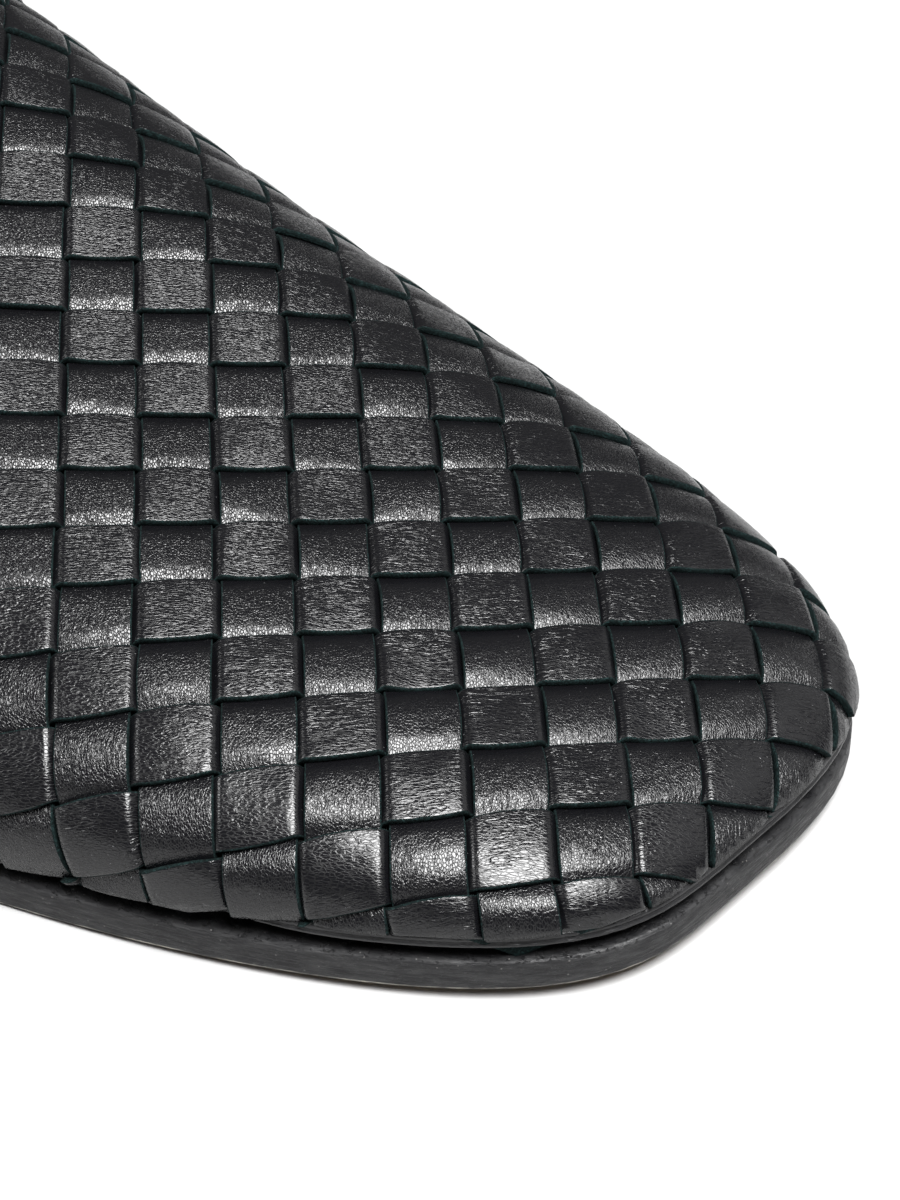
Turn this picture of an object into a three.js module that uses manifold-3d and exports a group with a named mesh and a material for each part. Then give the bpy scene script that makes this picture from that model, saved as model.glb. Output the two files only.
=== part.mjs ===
// Woven leather mule, right foot: closed square toe, open back, low stacked heel.
// Millimetres, +Z up, toe towards +X. Distances "behind" are measured from the toe tip towards the heel.
// "near" is the outer (little toe) side at -Y and "far" is the inner (big toe) side at +Y.

import * as THREE from "three";
import Module from "manifold-3d";

const wasm = await Module();
wasm.setup();

// Outline of the sole, one row for each side
const shoeLength = 256;
const near = { half: 48, widestBehind: 125, squareness: 2.0, waist: 36, heel: 31 };
const far = { half: 39.5, widestBehind: 96, squareness: 3.85, waist: 25, heel: 30 };
const waistBehind = 172;
const heelWidestBehind = 222;
const heelRoundness = 2.3;
const toeFrontSlant = 0.018;
const sideBlendWidth = 18;

// Profile of the sole, from the floor up
const toeSpring = 1.5;
const toeSpringReach = 81;
const archStartBehind = 116;
const heelSeatBehind = 190;
const heelLift = 11;
const outsoleThickness = 3.0;
const randThickness = 1.2;
const sockThickness = 1.8;
const layerGap = 0.3;
const outsoleInset = 0.35;
const randInset = 0.9;
const sockToeRoom = 3.2;
const sockHeelInset = 1.3;
const plateSteps = 44;
const bluntTip = 0.02;

// Heel under the seat
const heelBreastBehind = 194;
const heelInset = 1.2;
const topLiftThickness = 3.2;

// Last: height of the upper over its bottom edge, and how round its sides and toe are
const toeHeight = 16.8;
const ridgeRise = 0.042;
const ridgeCurve = 0.0016;
const ridgeLean = 0.0025;
const sidePower = 2.14;
const sideRound = 2.8;
const toePower = 1.8;
const toeRound = 1.77;

// Woven wall: two families of strips at equal pitches, laid along two guide strips that cross on the toe
const wallThickness = 1.7;
const stripThickness = 0.95;
const stripShoulder = 0.24;
const columnPitch = 6.55;
const rowPitch = 6.24;
const crossing = { behind: 48.9, side: 10, column: 5, row: 9 };
const columnGuide = { angle: 0.875, bendToToe: 0.0023, bendToHeel: -0.0017 };
const rowGuide = { angle: -0.724, bendToToe: -0.0012, bendToHeel: 0 };
const stripsToToe = 15;
const stripsToHeel = 24;
const spareCloth = 8;

// Throat of the mule and its folded edge
const throatRidgeBehind = 116;
const throatSideBehind = 156;
const throatCurvePower = 0.62;
const throatBandWidth = 7;
const throatBandRaise = 1.3;

const outsoleTop = outsoleThickness;
const randBottom = outsoleTop + layerGap;
const randTop = randBottom + randThickness;
const upperBottom = randTop + layerGap;

function mix(from, to, share) {
  return from + (to - from) * share;
}

function smooth(share) {
  const t = Math.min(Math.max(share, 0), 1);
  return t * t * (3 - 2 * t);
}

// How high the sole's underside is over the floor
function soleRise(behind) {
  const toe = Math.max(0, 1 - behind / toeSpringReach);
  const arch = smooth((behind - archStartBehind) / (heelSeatBehind - archStartBehind));
  return toeSpring * toe * toe + heelLift * arch;
}

// Greatest half width of one side at a distance behind the toe, leaving out the toe's own rounding
function sideHalf(side, behind, inset) {
  const heelReach = shoeLength - inset - heelWidestBehind;
  if (behind <= side.widestBehind) return side.half - inset;
  if (behind <= waistBehind) {
    const share = (behind - side.widestBehind) / (waistBehind - side.widestBehind);
    return mix(side.half, side.waist, smooth(share)) - inset;
  }
  if (behind <= heelWidestBehind) {
    const share = (behind - waistBehind) / (heelWidestBehind - waistBehind);
    return mix(side.waist, side.heel, smooth(share)) - inset;
  }
  const share = Math.min((behind - heelWidestBehind) / heelReach, 1);
  return (side.heel - inset) * Math.pow(1 - Math.pow(share, heelRoundness), 1 / heelRoundness);
}

// 1 on the outline, less inside it; toward says how much of that comes from the toe's front
function outlineShare(behind, y, inset = 0) {
  const blend = Math.tanh(y / sideBlendWidth);
  const widest = mix(near.widestBehind, far.widestBehind, (1 + blend) / 2) - inset;
  const power = mix(near.squareness, far.squareness, (1 + blend) / 2);
  const ahead = Math.max(0, 1 - (behind + toeFrontSlant * y - inset) / widest);
  const half = Math.max(sideHalf(y < 0 ? near : far, behind, inset), 1e-6);
  const share = Math.pow(Math.pow(Math.abs(y) / half, power) + Math.pow(ahead, power), 1 / power);
  return { share, toward: ahead / Math.max(share, 1e-6) };
}

// Half width of the outline itself, found by halving
function halfWidth(side, behind, inset) {
  const sign = side === near ? -1 : 1;
  let low = 0;
  let high = side.half + 1;
  for (let step = 0; step < 40; step += 1) {
    const middle = (low + high) / 2;
    if (outlineShare(behind, sign * middle, inset).share < 1) low = middle;
    else high = middle;
  }
  return low;
}

// Zero on the smooth last surface under the strips, positive outside it
function lastLevel([x, y, z]) {
  const behind = -x;
  const { share, toward } = outlineShare(behind, y);
  const front = toward * toward * toward;
  const across = y / (y < 0 ? near.half : far.half);
  const lean = 1 + ridgeLean * behind * across * (1 - Math.min(share, 1) ** 2);
  const crown = (toeHeight + ridgeRise * behind + ridgeCurve * behind * behind) * lean;
  const height = Math.max(0, (z - upperBottom - soleRise(behind)) / crown);
  const power = mix(sidePower, toePower, front);
  const round = mix(sideRound, toeRound, front);
  return Math.pow(share, power) + Math.pow(height, round) - 1;
}

function gradient(point) {
  const reach = 1e-3;
  return point.map((value, axis) => {
    const ahead = [...point];
    const back = [...point];
    ahead[axis] = value + reach;
    back[axis] = value - reach;
    return (lastLevel(ahead) - lastLevel(back)) / (2 * reach);
  });
}

const add = (a, b, scale = 1) => a.map((value, axis) => value + b[axis] * scale);
const dot = (a, b) => a[0] * b[0] + a[1] * b[1] + a[2] * b[2];
const unit = (a) => a.map((value) => value / Math.sqrt(dot(a, a)));
const cross = (a, b) => [a[1] * b[2] - a[2] * b[1], a[2] * b[0] - a[0] * b[2], a[0] * b[1] - a[1] * b[0]];

// Moves a point onto the last along the surface normal
function ontoLast(point, rounds) {
  let moved = point;
  for (let round = 0; round < rounds; round += 1) {
    const slope = gradient(moved);
    moved = add(moved, slope, -lastLevel(moved) / Math.max(dot(slope, slope), 1e-9));
  }
  return moved;
}

const tangentTo = (direction, normal) => unit(add(direction, normal, -dot(direction, normal)));

// Lays a guide strip over the last as taut leather lies, with a slight steady bend
function guideStrip(start, angle, bend, pitch, count) {
  const substeps = 2;
  const step = pitch / substeps;
  const nodes = [start];
  let point = start;
  let direction = tangentTo([Math.cos(angle), Math.sin(angle), 0], unit(gradient(point)));
  for (let index = 1; index <= count * substeps; index += 1) {
    const reached = ontoLast(add(point, direction, step), 2);
    const chord = unit(add(reached, point, -1));
    const next = ontoLast(add(point, chord, step), 1);
    const normal = unit(gradient(next));
    const ahead = tangentTo(add(next, point, -1), normal);
    const turn = bend * step;
    direction = add(ahead.map((value) => value * Math.cos(turn)), cross(normal, ahead), Math.sin(turn));
    point = next;
    if (index % substeps === 0) nodes.push(point);
  }
  return nodes;
}

// Solves a 3 by 3 system by Cramer's rule
function solve(rows, values) {
  const [a, b, c] = rows;
  const whole = dot(a, cross(b, c));
  if (Math.abs(whole) < 1e-7) return [0, 0, 0];
  const parts = [cross(b, c), cross(c, a), cross(a, b)];
  return [0, 1, 2].map((axis) => parts.reduce((sum, part, row) => sum + part[axis] * values[row], 0) / whole);
}

// The crossing that lies one pitch from each of two neighbours, on the last
function nextCrossing(alongColumns, alongRows, behindBoth) {
  let point = ontoLast(add(add(alongColumns, alongRows), behindBoth, -1), 1);
  for (let round = 0; round < 6; round += 1) {
    const fromColumn = add(point, alongColumns, -1);
    const fromRow = add(point, alongRows, -1);
    const columnLength = Math.sqrt(dot(fromColumn, fromColumn));
    const rowLength = Math.sqrt(dot(fromRow, fromRow));
    const slope = gradient(point);
    const rows = [slope, unit(fromColumn), unit(fromRow)];
    const move = solve(rows, [lastLevel(point), columnLength - columnPitch, rowLength - rowPitch]);
    const length = Math.sqrt(dot(move, move));
    point = add(point, move, -Math.min(1, 3 / Math.max(length, 1e-9)));
  }
  return point;
}

const nodeKey = (column, row) => `${column},${row}`;

// Every crossing of the weave, by its column and row, filled outwards from the two guides
function layNet() {
  const net = new Map();
  const start = ontoLast([-crossing.behind, crossing.side, upperBottom + toeHeight], 12);
  const columnGuides = [
    { sign: 1, nodes: guideStrip(start, columnGuide.angle, columnGuide.bendToToe, columnPitch, stripsToToe) },
    { sign: -1,
      nodes: guideStrip(start, columnGuide.angle + Math.PI, columnGuide.bendToHeel, columnPitch, stripsToHeel) },
  ];
  const rowGuides = [
    { sign: 1, nodes: guideStrip(start, rowGuide.angle, rowGuide.bendToToe, rowPitch, stripsToToe) },
    { sign: -1, nodes: guideStrip(start, rowGuide.angle + Math.PI, rowGuide.bendToHeel, rowPitch, stripsToHeel) },
  ];
  for (const columns of columnGuides) {
    for (const rows of rowGuides) {
      const at = (i, j) => nodeKey(crossing.column + columns.sign * i, crossing.row + rows.sign * j);
      columns.nodes.forEach((node, i) => net.set(at(i, 0), node));
      rows.nodes.forEach((node, j) => net.set(at(0, j), node));
      for (let i = 1; i < columns.nodes.length; i += 1) {
        for (let j = 1; j < rows.nodes.length; j += 1) {
          net.set(at(i, j), nextCrossing(net.get(at(i - 1, j)), net.get(at(i, j - 1)), net.get(at(i - 1, j - 1))));
        }
      }
    }
  }
  return net;
}

// Where the throat's edge lies behind the toe at a height
function throatBehind(z) {
  const low = upperBottom + soleRise(throatSideBehind);
  const crown = toeHeight + ridgeRise * throatRidgeBehind + ridgeCurve * throatRidgeBehind ** 2;
  const share = Math.min(Math.max((z - low) / (upperBottom + crown - low), 0), 1);
  return mix(throatSideBehind, throatRidgeBehind, Math.pow(share, throatCurvePower));
}

// The cells of the weave that cover the upper, with some to spare past its edges
function keptCells(net) {
  const cells = [];
  for (let column = crossing.column - stripsToHeel + 1; column <= crossing.column + stripsToToe; column += 1) {
    for (let row = crossing.row - stripsToHeel + 1; row <= crossing.row + stripsToToe; row += 1) {
      const corners = [[-1, -1], [-1, 0], [0, 0], [0, -1]].map(([i, j]) => nodeKey(column + i, row + j));
      const middle = corners.map((key) => net.get(key)).reduce((sum, node) => add(sum, node, 0.25), [0, 0, 0]);
      const belowEdge = upperBottom + soleRise(-middle[0]) - middle[2];
      const pastThroat = -middle[0] - throatBehind(middle[2]);
      if (belowEdge < spareCloth && pastThroat < spareCloth) cells.push({ column, row, corners });
    }
  }
  return cells;
}

// A closed wall over the kept cells. raise is the height of the strips over the crossings, or of a plain skin
function clothWall(net, cells, { raise, woven }) {
  const points = [];
  const faces = [];
  const places = new Map();
  const normals = new Map([...net].map(([key, node]) => [key, unit(gradient(node))]));
  const outerRaise = woven ? 0 : raise;

  function place(name, make) {
    if (!places.has(name)) {
      places.set(name, points.length);
      points.push(make());
    }
    return places.get(name);
  }
  const outer = (key) => place(`outer ${key}`, () => add(net.get(key), normals.get(key), outerRaise));
  const inner = (key) => place(`inner ${key}`, () => add(net.get(key), normals.get(key), -wallThickness));
  const shoulder = (from, to) => place(`shoulder ${from} ${to}`, () => {
    const between = add(net.get(from), add(net.get(to), net.get(from), -1), stripShoulder);
    const seated = ontoLast(between, 2);
    return add(seated, unit(gradient(seated)), raise);
  });

  const open = new Map();
  const crossEdge = (from, to) => {
    if (open.has(`${to} ${from}`)) open.delete(`${to} ${from}`);
    else open.set(`${from} ${to}`, [from, to]);
  };
  for (const { column, row, corners } of cells) {
    const rowOnTop = (column + row) % 2 === 0;
    const [a, b, c, d] = rowOnTop ? corners : [corners[1], corners[2], corners[3], corners[0]];
    const ring = [a, b, c, d];
    ring.forEach((key, index) => crossEdge(key, ring[(index + 1) % 4]));
    if (!woven) {
      faces.push(ring.map(outer));
    } else {
      // the strip runs from the side a-b to the side c-d, and its cut edges are b-c and d-a
      const [bc, cb, da, ad] = [shoulder(b, c), shoulder(c, b), shoulder(d, a), shoulder(a, d)];
      faces.push([outer(a), outer(b), bc, ad], [ad, bc, cb, da], [da, cb, outer(c), outer(d)]);
      faces.push([outer(c), cb, bc, outer(b)], [outer(a), ad, da, outer(d)]);
    }
    faces.push(ring.map(inner).reverse());
  }
  for (const [from, to] of open.values()) faces.push([outer(to), outer(from), inner(from), inner(to)]);
  return geometryOf(points, faces);
}

// A geometry from points and convex faces, which are fanned into triangles
function geometryOf(points, faces) {
  const index = faces.flatMap((face) => face.slice(2).flatMap((last, i) => [face[0], face[i + 1], last]));
  const geometry = new THREE.BufferGeometry();
  geometry.setAttribute("position", new THREE.Float32BufferAttribute(points.flat(), 3));
  geometry.setIndex(index);
  return geometry;
}

// Joins equal rings of points into one closed solid
function ladder(rings) {
  const size = rings[0].length;
  const faces = [rings[0].map((_, i) => size - 1 - i)];
  for (let level = 1; level < rings.length; level += 1) {
    for (let i = 0; i < size; i += 1) {
      const next = (i + 1) % size;
      const [lower, upper] = [(level - 1) * size, level * size];
      faces.push([lower + i, lower + next, upper + next, upper + i]);
    }
  }
  faces.push(rings[0].map((_, i) => (rings.length - 1) * size + i));
  return geometryOf(rings.flat(), faces);
}

// Distances behind the toe at which a layer of the sole has a section, closer at both round ends
function stations(from, to) {
  const fixed = [archStartBehind, toeSpringReach, heelSeatBehind].filter((at) => at > from && at < to);
  const spread = Array.from({ length: plateSteps + 1 }, (_, i) => {
    return mix(from, to, (1 - Math.cos((Math.PI * i) / plateSteps)) / 2);
  });
  const loose = spread.filter((at) => fixed.every((set) => Math.abs(at - set) > 1));
  return [...loose, ...fixed].sort((a, b) => a - b);
}

// The four corners of a section across the shoe, in the order that ladder needs from toe to heel
function section(behind, right, left, low, high) {
  return [[-behind, right, high], [-behind, left, high], [-behind, left, low], [-behind, right, low]];
}

// A flat layer with the outline's shape. inset, bottom and top are functions of the distance behind the toe
function outlineLayer({ inset, from, bottom, top }) {
  const rings = stations(from, shoeLength - inset(shoeLength) - bluntTip).map((behind) => {
    const edge = inset(behind);
    return section(behind, -halfWidth(near, behind, edge), halfWidth(far, behind, edge), bottom(behind), top(behind));
  });
  return ladder(rings);
}

// A layer of the sole, between two heights over the sole's underside
function soleLayer({ inset, bottom, top }) {
  return outlineLayer({
    inset,
    from: inset(0) + bluntTip,
    bottom: (behind) => soleRise(behind) + bottom,
    top: (behind) => soleRise(behind) + top,
  });
}

// The footbed lies inside the wall, and reaches further out once it is past the throat
function sockInset(behind) {
  const past = smooth((behind - throatSideBehind) / (heelSeatBehind - throatSideBehind));
  return mix(wallThickness + layerGap + sockToeRoom, sockHeelInset, past);
}

// A layer of the heel, between two heights over the floor
function heelLayer(bottom, top) {
  return outlineLayer({
    inset: () => heelInset,
    from: heelBreastBehind,
    bottom: () => bottom,
    top: () => top,
  });
}

// A block that fills the space under the upper's bottom edge
function underEdgeBlock() {
  const reach = 80;
  const depth = 40;
  const rings = stations(-reach / 2, shoeLength).map((behind) => {
    return section(behind, -reach, reach, -depth, upperBottom + soleRise(Math.max(behind, 0)));
  });
  return ladder(rings);
}

// A block that fills the space behind the throat's edge, or behind a line in front of it
function behindThroatBlock(forward) {
  const reach = 80;
  const levels = 16;
  const [low, high] = [-reach / 2, reach];
  const rings = Array.from({ length: levels + 1 }, (_, i) => {
    const z = mix(low, high, i / levels);
    const front = throatBehind(z) - forward;
    const back = shoeLength + reach;
    return [[-back, -reach, z], [-front, -reach, z], [-front, reach, z], [-back, reach, z]];
  });
  return ladder(rings);
}

function toSolid(geometry) {
  const vertProperties = new Float32Array(geometry.getAttribute("position").array);
  const triVerts = new Uint32Array(geometry.getIndex().array);
  return new wasm.Manifold(new wasm.Mesh({ numProp: 3, vertProperties, triVerts }));
}

function toGeometry(solid) {
  const { vertProperties, triVerts } = solid.getMesh();
  const geometry = new THREE.BufferGeometry();
  geometry.setAttribute("position", new THREE.Float32BufferAttribute(vertProperties, 3));
  geometry.setIndex(Array.from(triVerts));
  return geometry;
}

function buildUpper() {
  const net = layNet();
  const cells = keptCells(net);
  const underEdge = toSolid(underEdgeBlock());
  const behindThroat = toSolid(behindThroatBlock(0));
  const bandRegion = toSolid(behindThroatBlock(throatBandWidth));
  const weave = toSolid(clothWall(net, cells, { raise: stripThickness, woven: true }));
  const skin = toSolid(clothWall(net, cells, { raise: throatBandRaise, woven: false }));
  const foldedEdge = skin.intersect(bandRegion);
  return toGeometry(weave.add(foldedEdge).subtract(underEdge).subtract(behindThroat));
}

const finishes = {
  wovenLeather: new THREE.MeshStandardMaterial({ color: 0x1f2022, roughness: 0.48, metalness: 0 }),
  soleLeather: new THREE.MeshStandardMaterial({ color: 0x191a1b, roughness: 0.6, metalness: 0 }),
  randLeather: new THREE.MeshStandardMaterial({ color: 0x1b1c1e, roughness: 0.5, metalness: 0 }),
  sockLeather: new THREE.MeshStandardMaterial({ color: 0x232427, roughness: 0.55, metalness: 0 }),
  liftRubber: new THREE.MeshStandardMaterial({ color: 0x121212, roughness: 0.8, metalness: 0 }),
};

const shoe = new THREE.Group();

function addPiece(name, geometry, finish) {
  const mesh = new THREE.Mesh(geometry, finish);
  mesh.name = name;
  shoe.add(mesh);
}

addPiece("outsole", soleLayer({ inset: () => outsoleInset, bottom: 0, top: outsoleTop }), finishes.soleLeather);
addPiece("heel_stack", heelLayer(topLiftThickness, heelLift), finishes.soleLeather);
addPiece("heel_top_lift", heelLayer(0, topLiftThickness), finishes.liftRubber);
addPiece("midsole_rand",
  soleLayer({ inset: () => randInset, bottom: randBottom, top: randTop }), finishes.randLeather);
addPiece("insole_sock",
  soleLayer({ inset: sockInset, bottom: upperBottom, top: upperBottom + sockThickness }), finishes.sockLeather);
addPiece("upper_woven", buildUpper(), finishes.wovenLeather);

// The origin is on the floor under the middle of the shoe
const extent = new THREE.Box3().setFromObject(shoe);
shoe.position.set(-(extent.min.x + extent.max.x) / 2, -(extent.min.y + extent.max.y) / 2, -extent.min.z);

export default shoe;
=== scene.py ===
"""Woven leather mule, right foot: the dressed model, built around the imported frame.

Until a mesh is made, lengths are millimetres in the shoe's own coordinates: x is minus the distance
behind the toe tip, y points to the inner (far) side and z is the height over the floor.
"""

from __future__ import annotations

import logging
import math
from dataclasses import dataclass, field
from enum import Enum
from typing import Callable, Mapping, Sequence

import bmesh
import bpy
import numpy as np
from mathutils import Matrix, Vector


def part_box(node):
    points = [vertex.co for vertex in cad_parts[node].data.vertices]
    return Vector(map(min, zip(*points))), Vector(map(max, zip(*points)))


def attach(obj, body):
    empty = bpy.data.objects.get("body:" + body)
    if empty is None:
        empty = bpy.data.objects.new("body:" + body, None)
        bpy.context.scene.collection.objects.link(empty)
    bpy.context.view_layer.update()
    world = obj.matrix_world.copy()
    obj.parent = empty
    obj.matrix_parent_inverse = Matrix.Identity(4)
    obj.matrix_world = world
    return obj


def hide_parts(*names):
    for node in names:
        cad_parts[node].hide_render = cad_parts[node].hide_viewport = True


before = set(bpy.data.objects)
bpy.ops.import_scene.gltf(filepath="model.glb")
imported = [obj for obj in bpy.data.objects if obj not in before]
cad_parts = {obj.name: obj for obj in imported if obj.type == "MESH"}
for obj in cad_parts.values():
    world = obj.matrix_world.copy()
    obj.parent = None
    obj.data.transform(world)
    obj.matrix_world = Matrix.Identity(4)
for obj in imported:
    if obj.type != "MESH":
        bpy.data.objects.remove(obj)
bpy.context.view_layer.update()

log = logging.getLogger("mule")

MM = 0.001
BODY = "root"
# How far inside the outline the CAD part's outsole ends.
CAD_SOLE_INSET = 0.35
# Least values that keep a division or a set of equations sound.
TINY = 1e-9
SLIGHT = 1e-6
# Rounds in which an interval is halved.
HALVINGS = 40
Array = np.ndarray
Triple = tuple[float, float, float]
Colour = Triple
Node = bpy.types.Node
Socket = bpy.types.NodeSocket
Material = bpy.types.Material
Piece = bpy.types.Object
Input = float | tuple | Socket


def mix(low: float | Array, high: float | Array, share: float | Array) -> float | Array:
    """Goes from low to high as share goes from 0 to 1."""
    return low + (high - low) * share


def smooth(share: float | Array) -> Array:
    """Eases from 0 to 1, flat at both ends."""
    held = np.clip(share, 0.0, 1.0)
    return held * held * (3 - 2 * held)


def unit(vectors: Array) -> Array:
    """Vectors of length one, along the last axis."""
    return vectors / np.maximum(np.linalg.norm(vectors, axis=-1, keepdims=True), TINY)


def direction(azimuth: float, elevation: float) -> Vector:
    """The way from the shoe to the camera or to a light.

    Args:
        azimuth: Angle round the shoe in degrees, 0 on the near side.
        elevation: Angle over the floor in degrees.

    Returns:
        A direction of length one.
    """
    a, e = math.radians(azimuth), math.radians(elevation)
    return Vector((math.sin(a) * math.cos(e), -math.cos(a) * math.cos(e), math.sin(e)))


@dataclass(frozen=True)
class OutlineSide:
    """One side of the sole's outline."""

    half: float
    widest_behind: float
    squareness: float
    waist: float
    heel: float


@dataclass(frozen=True)
class Last:
    """The form under the leather: outline, profile of the sole and surface of the upper."""

    length: float = 256.0
    near: OutlineSide = OutlineSide(half=48.0, widest_behind=125.0, squareness=2.0, waist=36.0, heel=31.0)
    far: OutlineSide = OutlineSide(half=39.5, widest_behind=96.0, squareness=3.85, waist=25.0, heel=30.0)
    waist_behind: float = 172.0
    heel_widest_behind: float = 222.0
    heel_roundness: float = 2.3
    toe_front_slant: float = 0.018
    side_blend_width: float = 18.0
    toe_spring: float = 1.5
    toe_spring_reach: float = 81.0
    arch_start_behind: float = 116.0
    heel_seat_behind: float = 190.0
    heel_lift: float = 11.0
    upper_bottom: float = 4.8
    toe_height: float = 16.8
    ridge_rise: float = 0.042
    ridge_curve: float = 0.0016
    ridge_lean: float = 0.0025
    side_power: float = 2.14
    side_round: float = 2.8
    toe_power: float = 1.8
    toe_round: float = 1.77
    throat_ridge_behind: float = 116.0
    throat_side_behind: float = 156.0
    throat_curve_power: float = 0.62

    def sole_rise(self, behind: Array) -> Array:
        """Height of the sole's underside over the floor.

        Args:
            behind: Distances behind the toe tip.

        Returns:
            Heights, one for each distance.
        """
        toe = np.maximum(0.0, 1 - behind / self.toe_spring_reach)
        arch = smooth((behind - self.arch_start_behind) / (self.heel_seat_behind - self.arch_start_behind))
        return self.toe_spring * toe * toe + self.heel_lift * arch

    def side_half(self, side: OutlineSide, behind: Array, inset: float | Array) -> Array:
        """Greatest half width of one side, leaving out the toe's own rounding.

        Args:
            side: The near or the far side.
            behind: Distances behind the toe tip.
            inset: How far inside the true outline.

        Returns:
            Half widths, one for each distance.
        """
        to_waist = smooth((behind - side.widest_behind) / (self.waist_behind - side.widest_behind))
        to_heel = smooth((behind - self.waist_behind) / (self.heel_widest_behind - self.waist_behind))
        front = mix(side.half, side.waist, to_waist)
        back = mix(side.waist, side.heel, to_heel)
        half = np.where(behind <= self.waist_behind, front, back) - inset
        reach = self.length - inset - self.heel_widest_behind
        share = np.clip((behind - self.heel_widest_behind) / reach, 0.0, 1.0)
        power = self.heel_roundness
        return half * np.power(1 - np.power(share, power), 1 / power)

    def outline_share(self, behind: Array, y: Array, inset: float | Array = 0.0) -> tuple[Array, Array]:
        """Tells where a plan point lies against the outline.

        Args:
            behind: Distances behind the toe tip.
            y: Distances to the far side.
            inset: How far inside the true outline.

        Returns:
            The share, 1 on the outline and less inside it, and how much of it comes from the toe's front.
        """
        lean = (1 + np.tanh(y / self.side_blend_width)) / 2
        widest = mix(self.near.widest_behind, self.far.widest_behind, lean) - inset
        power = mix(self.near.squareness, self.far.squareness, lean)
        ahead = np.maximum(0.0, 1 - (behind + self.toe_front_slant * y - inset) / widest)
        near_half = self.side_half(self.near, behind, inset)
        far_half = self.side_half(self.far, behind, inset)
        half = np.maximum(np.where(y < 0, near_half, far_half), SLIGHT)
        share = np.power(np.power(np.abs(y) / half, power) + np.power(ahead, power), 1 / power)
        return share, ahead / np.maximum(share, SLIGHT)

    def half_width(self, near: bool, behind: Array, inset: float | Array) -> Array:
        """Half width of the outline itself, found by halving.

        Args:
            near: True for the near side.
            behind: Distances behind the toe tip.
            inset: How far inside the true outline.

        Returns:
            Half widths, one for each distance.
        """
        sign = -1.0 if near else 1.0
        low = np.zeros_like(behind)
        high = np.full_like(behind, self.near.half + 1)
        for _ in range(HALVINGS):
            middle = (low + high) / 2
            inside = self.outline_share(behind, sign * middle, inset)[0] < 1
            low = np.where(inside, middle, low)
            high = np.where(inside, high, middle)
        return low

    def ridge_height(self, behind: Array) -> Array:
        """Height of the ridge over the upper's bottom edge."""
        return self.toe_height + self.ridge_rise * behind + self.ridge_curve * behind * behind

    def crown(self, behind: Array, y: Array, share: Array) -> Array:
        """Height of the surface's middle over the upper's bottom edge, with its lean to one side.

        Args:
            behind: Distances behind the toe tip.
            y: Distances to the far side.
            share: Where the point lies against the outline, 1 on it.

        Returns:
            Heights, one for each point.
        """
        across = y / np.where(y < 0, self.near.half, self.far.half)
        lean = 1 + self.ridge_lean * behind * across * (1 - np.minimum(share, 1) ** 2)
        return self.ridge_height(behind) * lean

    def powers(self, toward: Array) -> tuple[Array, Array]:
        """How square the surface is across and upwards, by how much of the share is the toe's."""
        front = toward ** 3
        return mix(self.side_power, self.toe_power, front), mix(self.side_round, self.toe_round, front)

    def level(self, points: Array) -> Array:
        """Tells which side of the surface points lie on.

        Args:
            points: Points near the surface.

        Returns:
            Zero on the smooth surface of the last, and more than zero outside it.
        """
        behind, y, z = -points[..., 0], points[..., 1], points[..., 2]
        share, toward = self.outline_share(behind, y)
        over_edge = z - self.upper_bottom - self.sole_rise(behind)
        height = np.maximum(0.0, over_edge / self.crown(behind, y, share))
        power, round_ = self.powers(toward)
        return np.power(share, power) + np.power(height, round_) - 1

    def slope(self, points: Array) -> Array:
        """Gradient of the level, by central differences.

        Args:
            points: Points near the surface.

        Returns:
            One vector for each point.
        """
        reach = 1e-3
        steps = np.eye(3) * reach
        parts = [(self.level(points + step) - self.level(points - step)) / (2 * reach) for step in steps]
        return np.stack(parts, axis=-1)

    def normal(self, points: Array) -> Array:
        """Outward directions of the surface."""
        return unit(self.slope(points))

    def onto(self, points: Array, rounds: int) -> Array:
        """Moves points onto the surface along its normal.

        Args:
            points: Points near the surface.
            rounds: How many Newton steps are made.

        Returns:
            The moved points.
        """
        moved = points
        for _ in range(rounds):
            slope = self.slope(moved)
            square = np.maximum(np.sum(slope * slope, axis=-1), TINY)
            moved = moved - slope * (self.level(moved) / square)[..., None]
        return moved

    def surface_height(self, behind: Array, y: Array) -> Array:
        """Height of the last's surface over plan points.

        Args:
            behind: Distances behind the toe tip.
            y: Distances to the far side.

        Returns:
            Heights over the floor.
        """
        share, toward = self.outline_share(behind, y)
        power, round_ = self.powers(toward)
        height = np.power(np.maximum(1 - np.power(share, power), 0.0), 1 / round_)
        return self.upper_bottom + self.sole_rise(behind) + self.crown(behind, y, share) * height

    def throat_behind(self, z: Array) -> Array:
        """Where the throat's edge lies behind the toe.

        Args:
            z: Heights over the floor.

        Returns:
            Distances behind the toe tip.
        """
        low = self.upper_bottom + self.sole_rise(np.asarray(self.throat_side_behind))
        top = self.upper_bottom + self.ridge_height(self.throat_ridge_behind)
        share = np.power(np.clip((z - low) / (top - low), 0.0, 1.0), self.throat_curve_power)
        return mix(self.throat_side_behind, self.throat_ridge_behind, share)

    def inside_upper(self, points: Array, bottom_drop: float | Array) -> Array:
        """More than zero where the upper covers the last.

        Args:
            points: Points on the surface.
            bottom_drop: How far the leather goes below the upper's bottom edge.

        Returns:
            Roughly the distance to the nearer of the bottom edge and the throat.
        """
        behind, z = -points[..., 0], points[..., 2]
        over = z - (self.upper_bottom - bottom_drop) - self.sole_rise(behind)
        return np.minimum(over, self.throat_behind(z) - behind)


@dataclass(frozen=True)
class Guide:
    """One of the two strips that the weave is laid out from."""

    angle: float
    bend_to_toe: float
    bend_to_heel: float


class StripFamily(Enum):
    """The two directions in which the strips run."""

    ROW = "row"
    COLUMN = "column"


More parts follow.
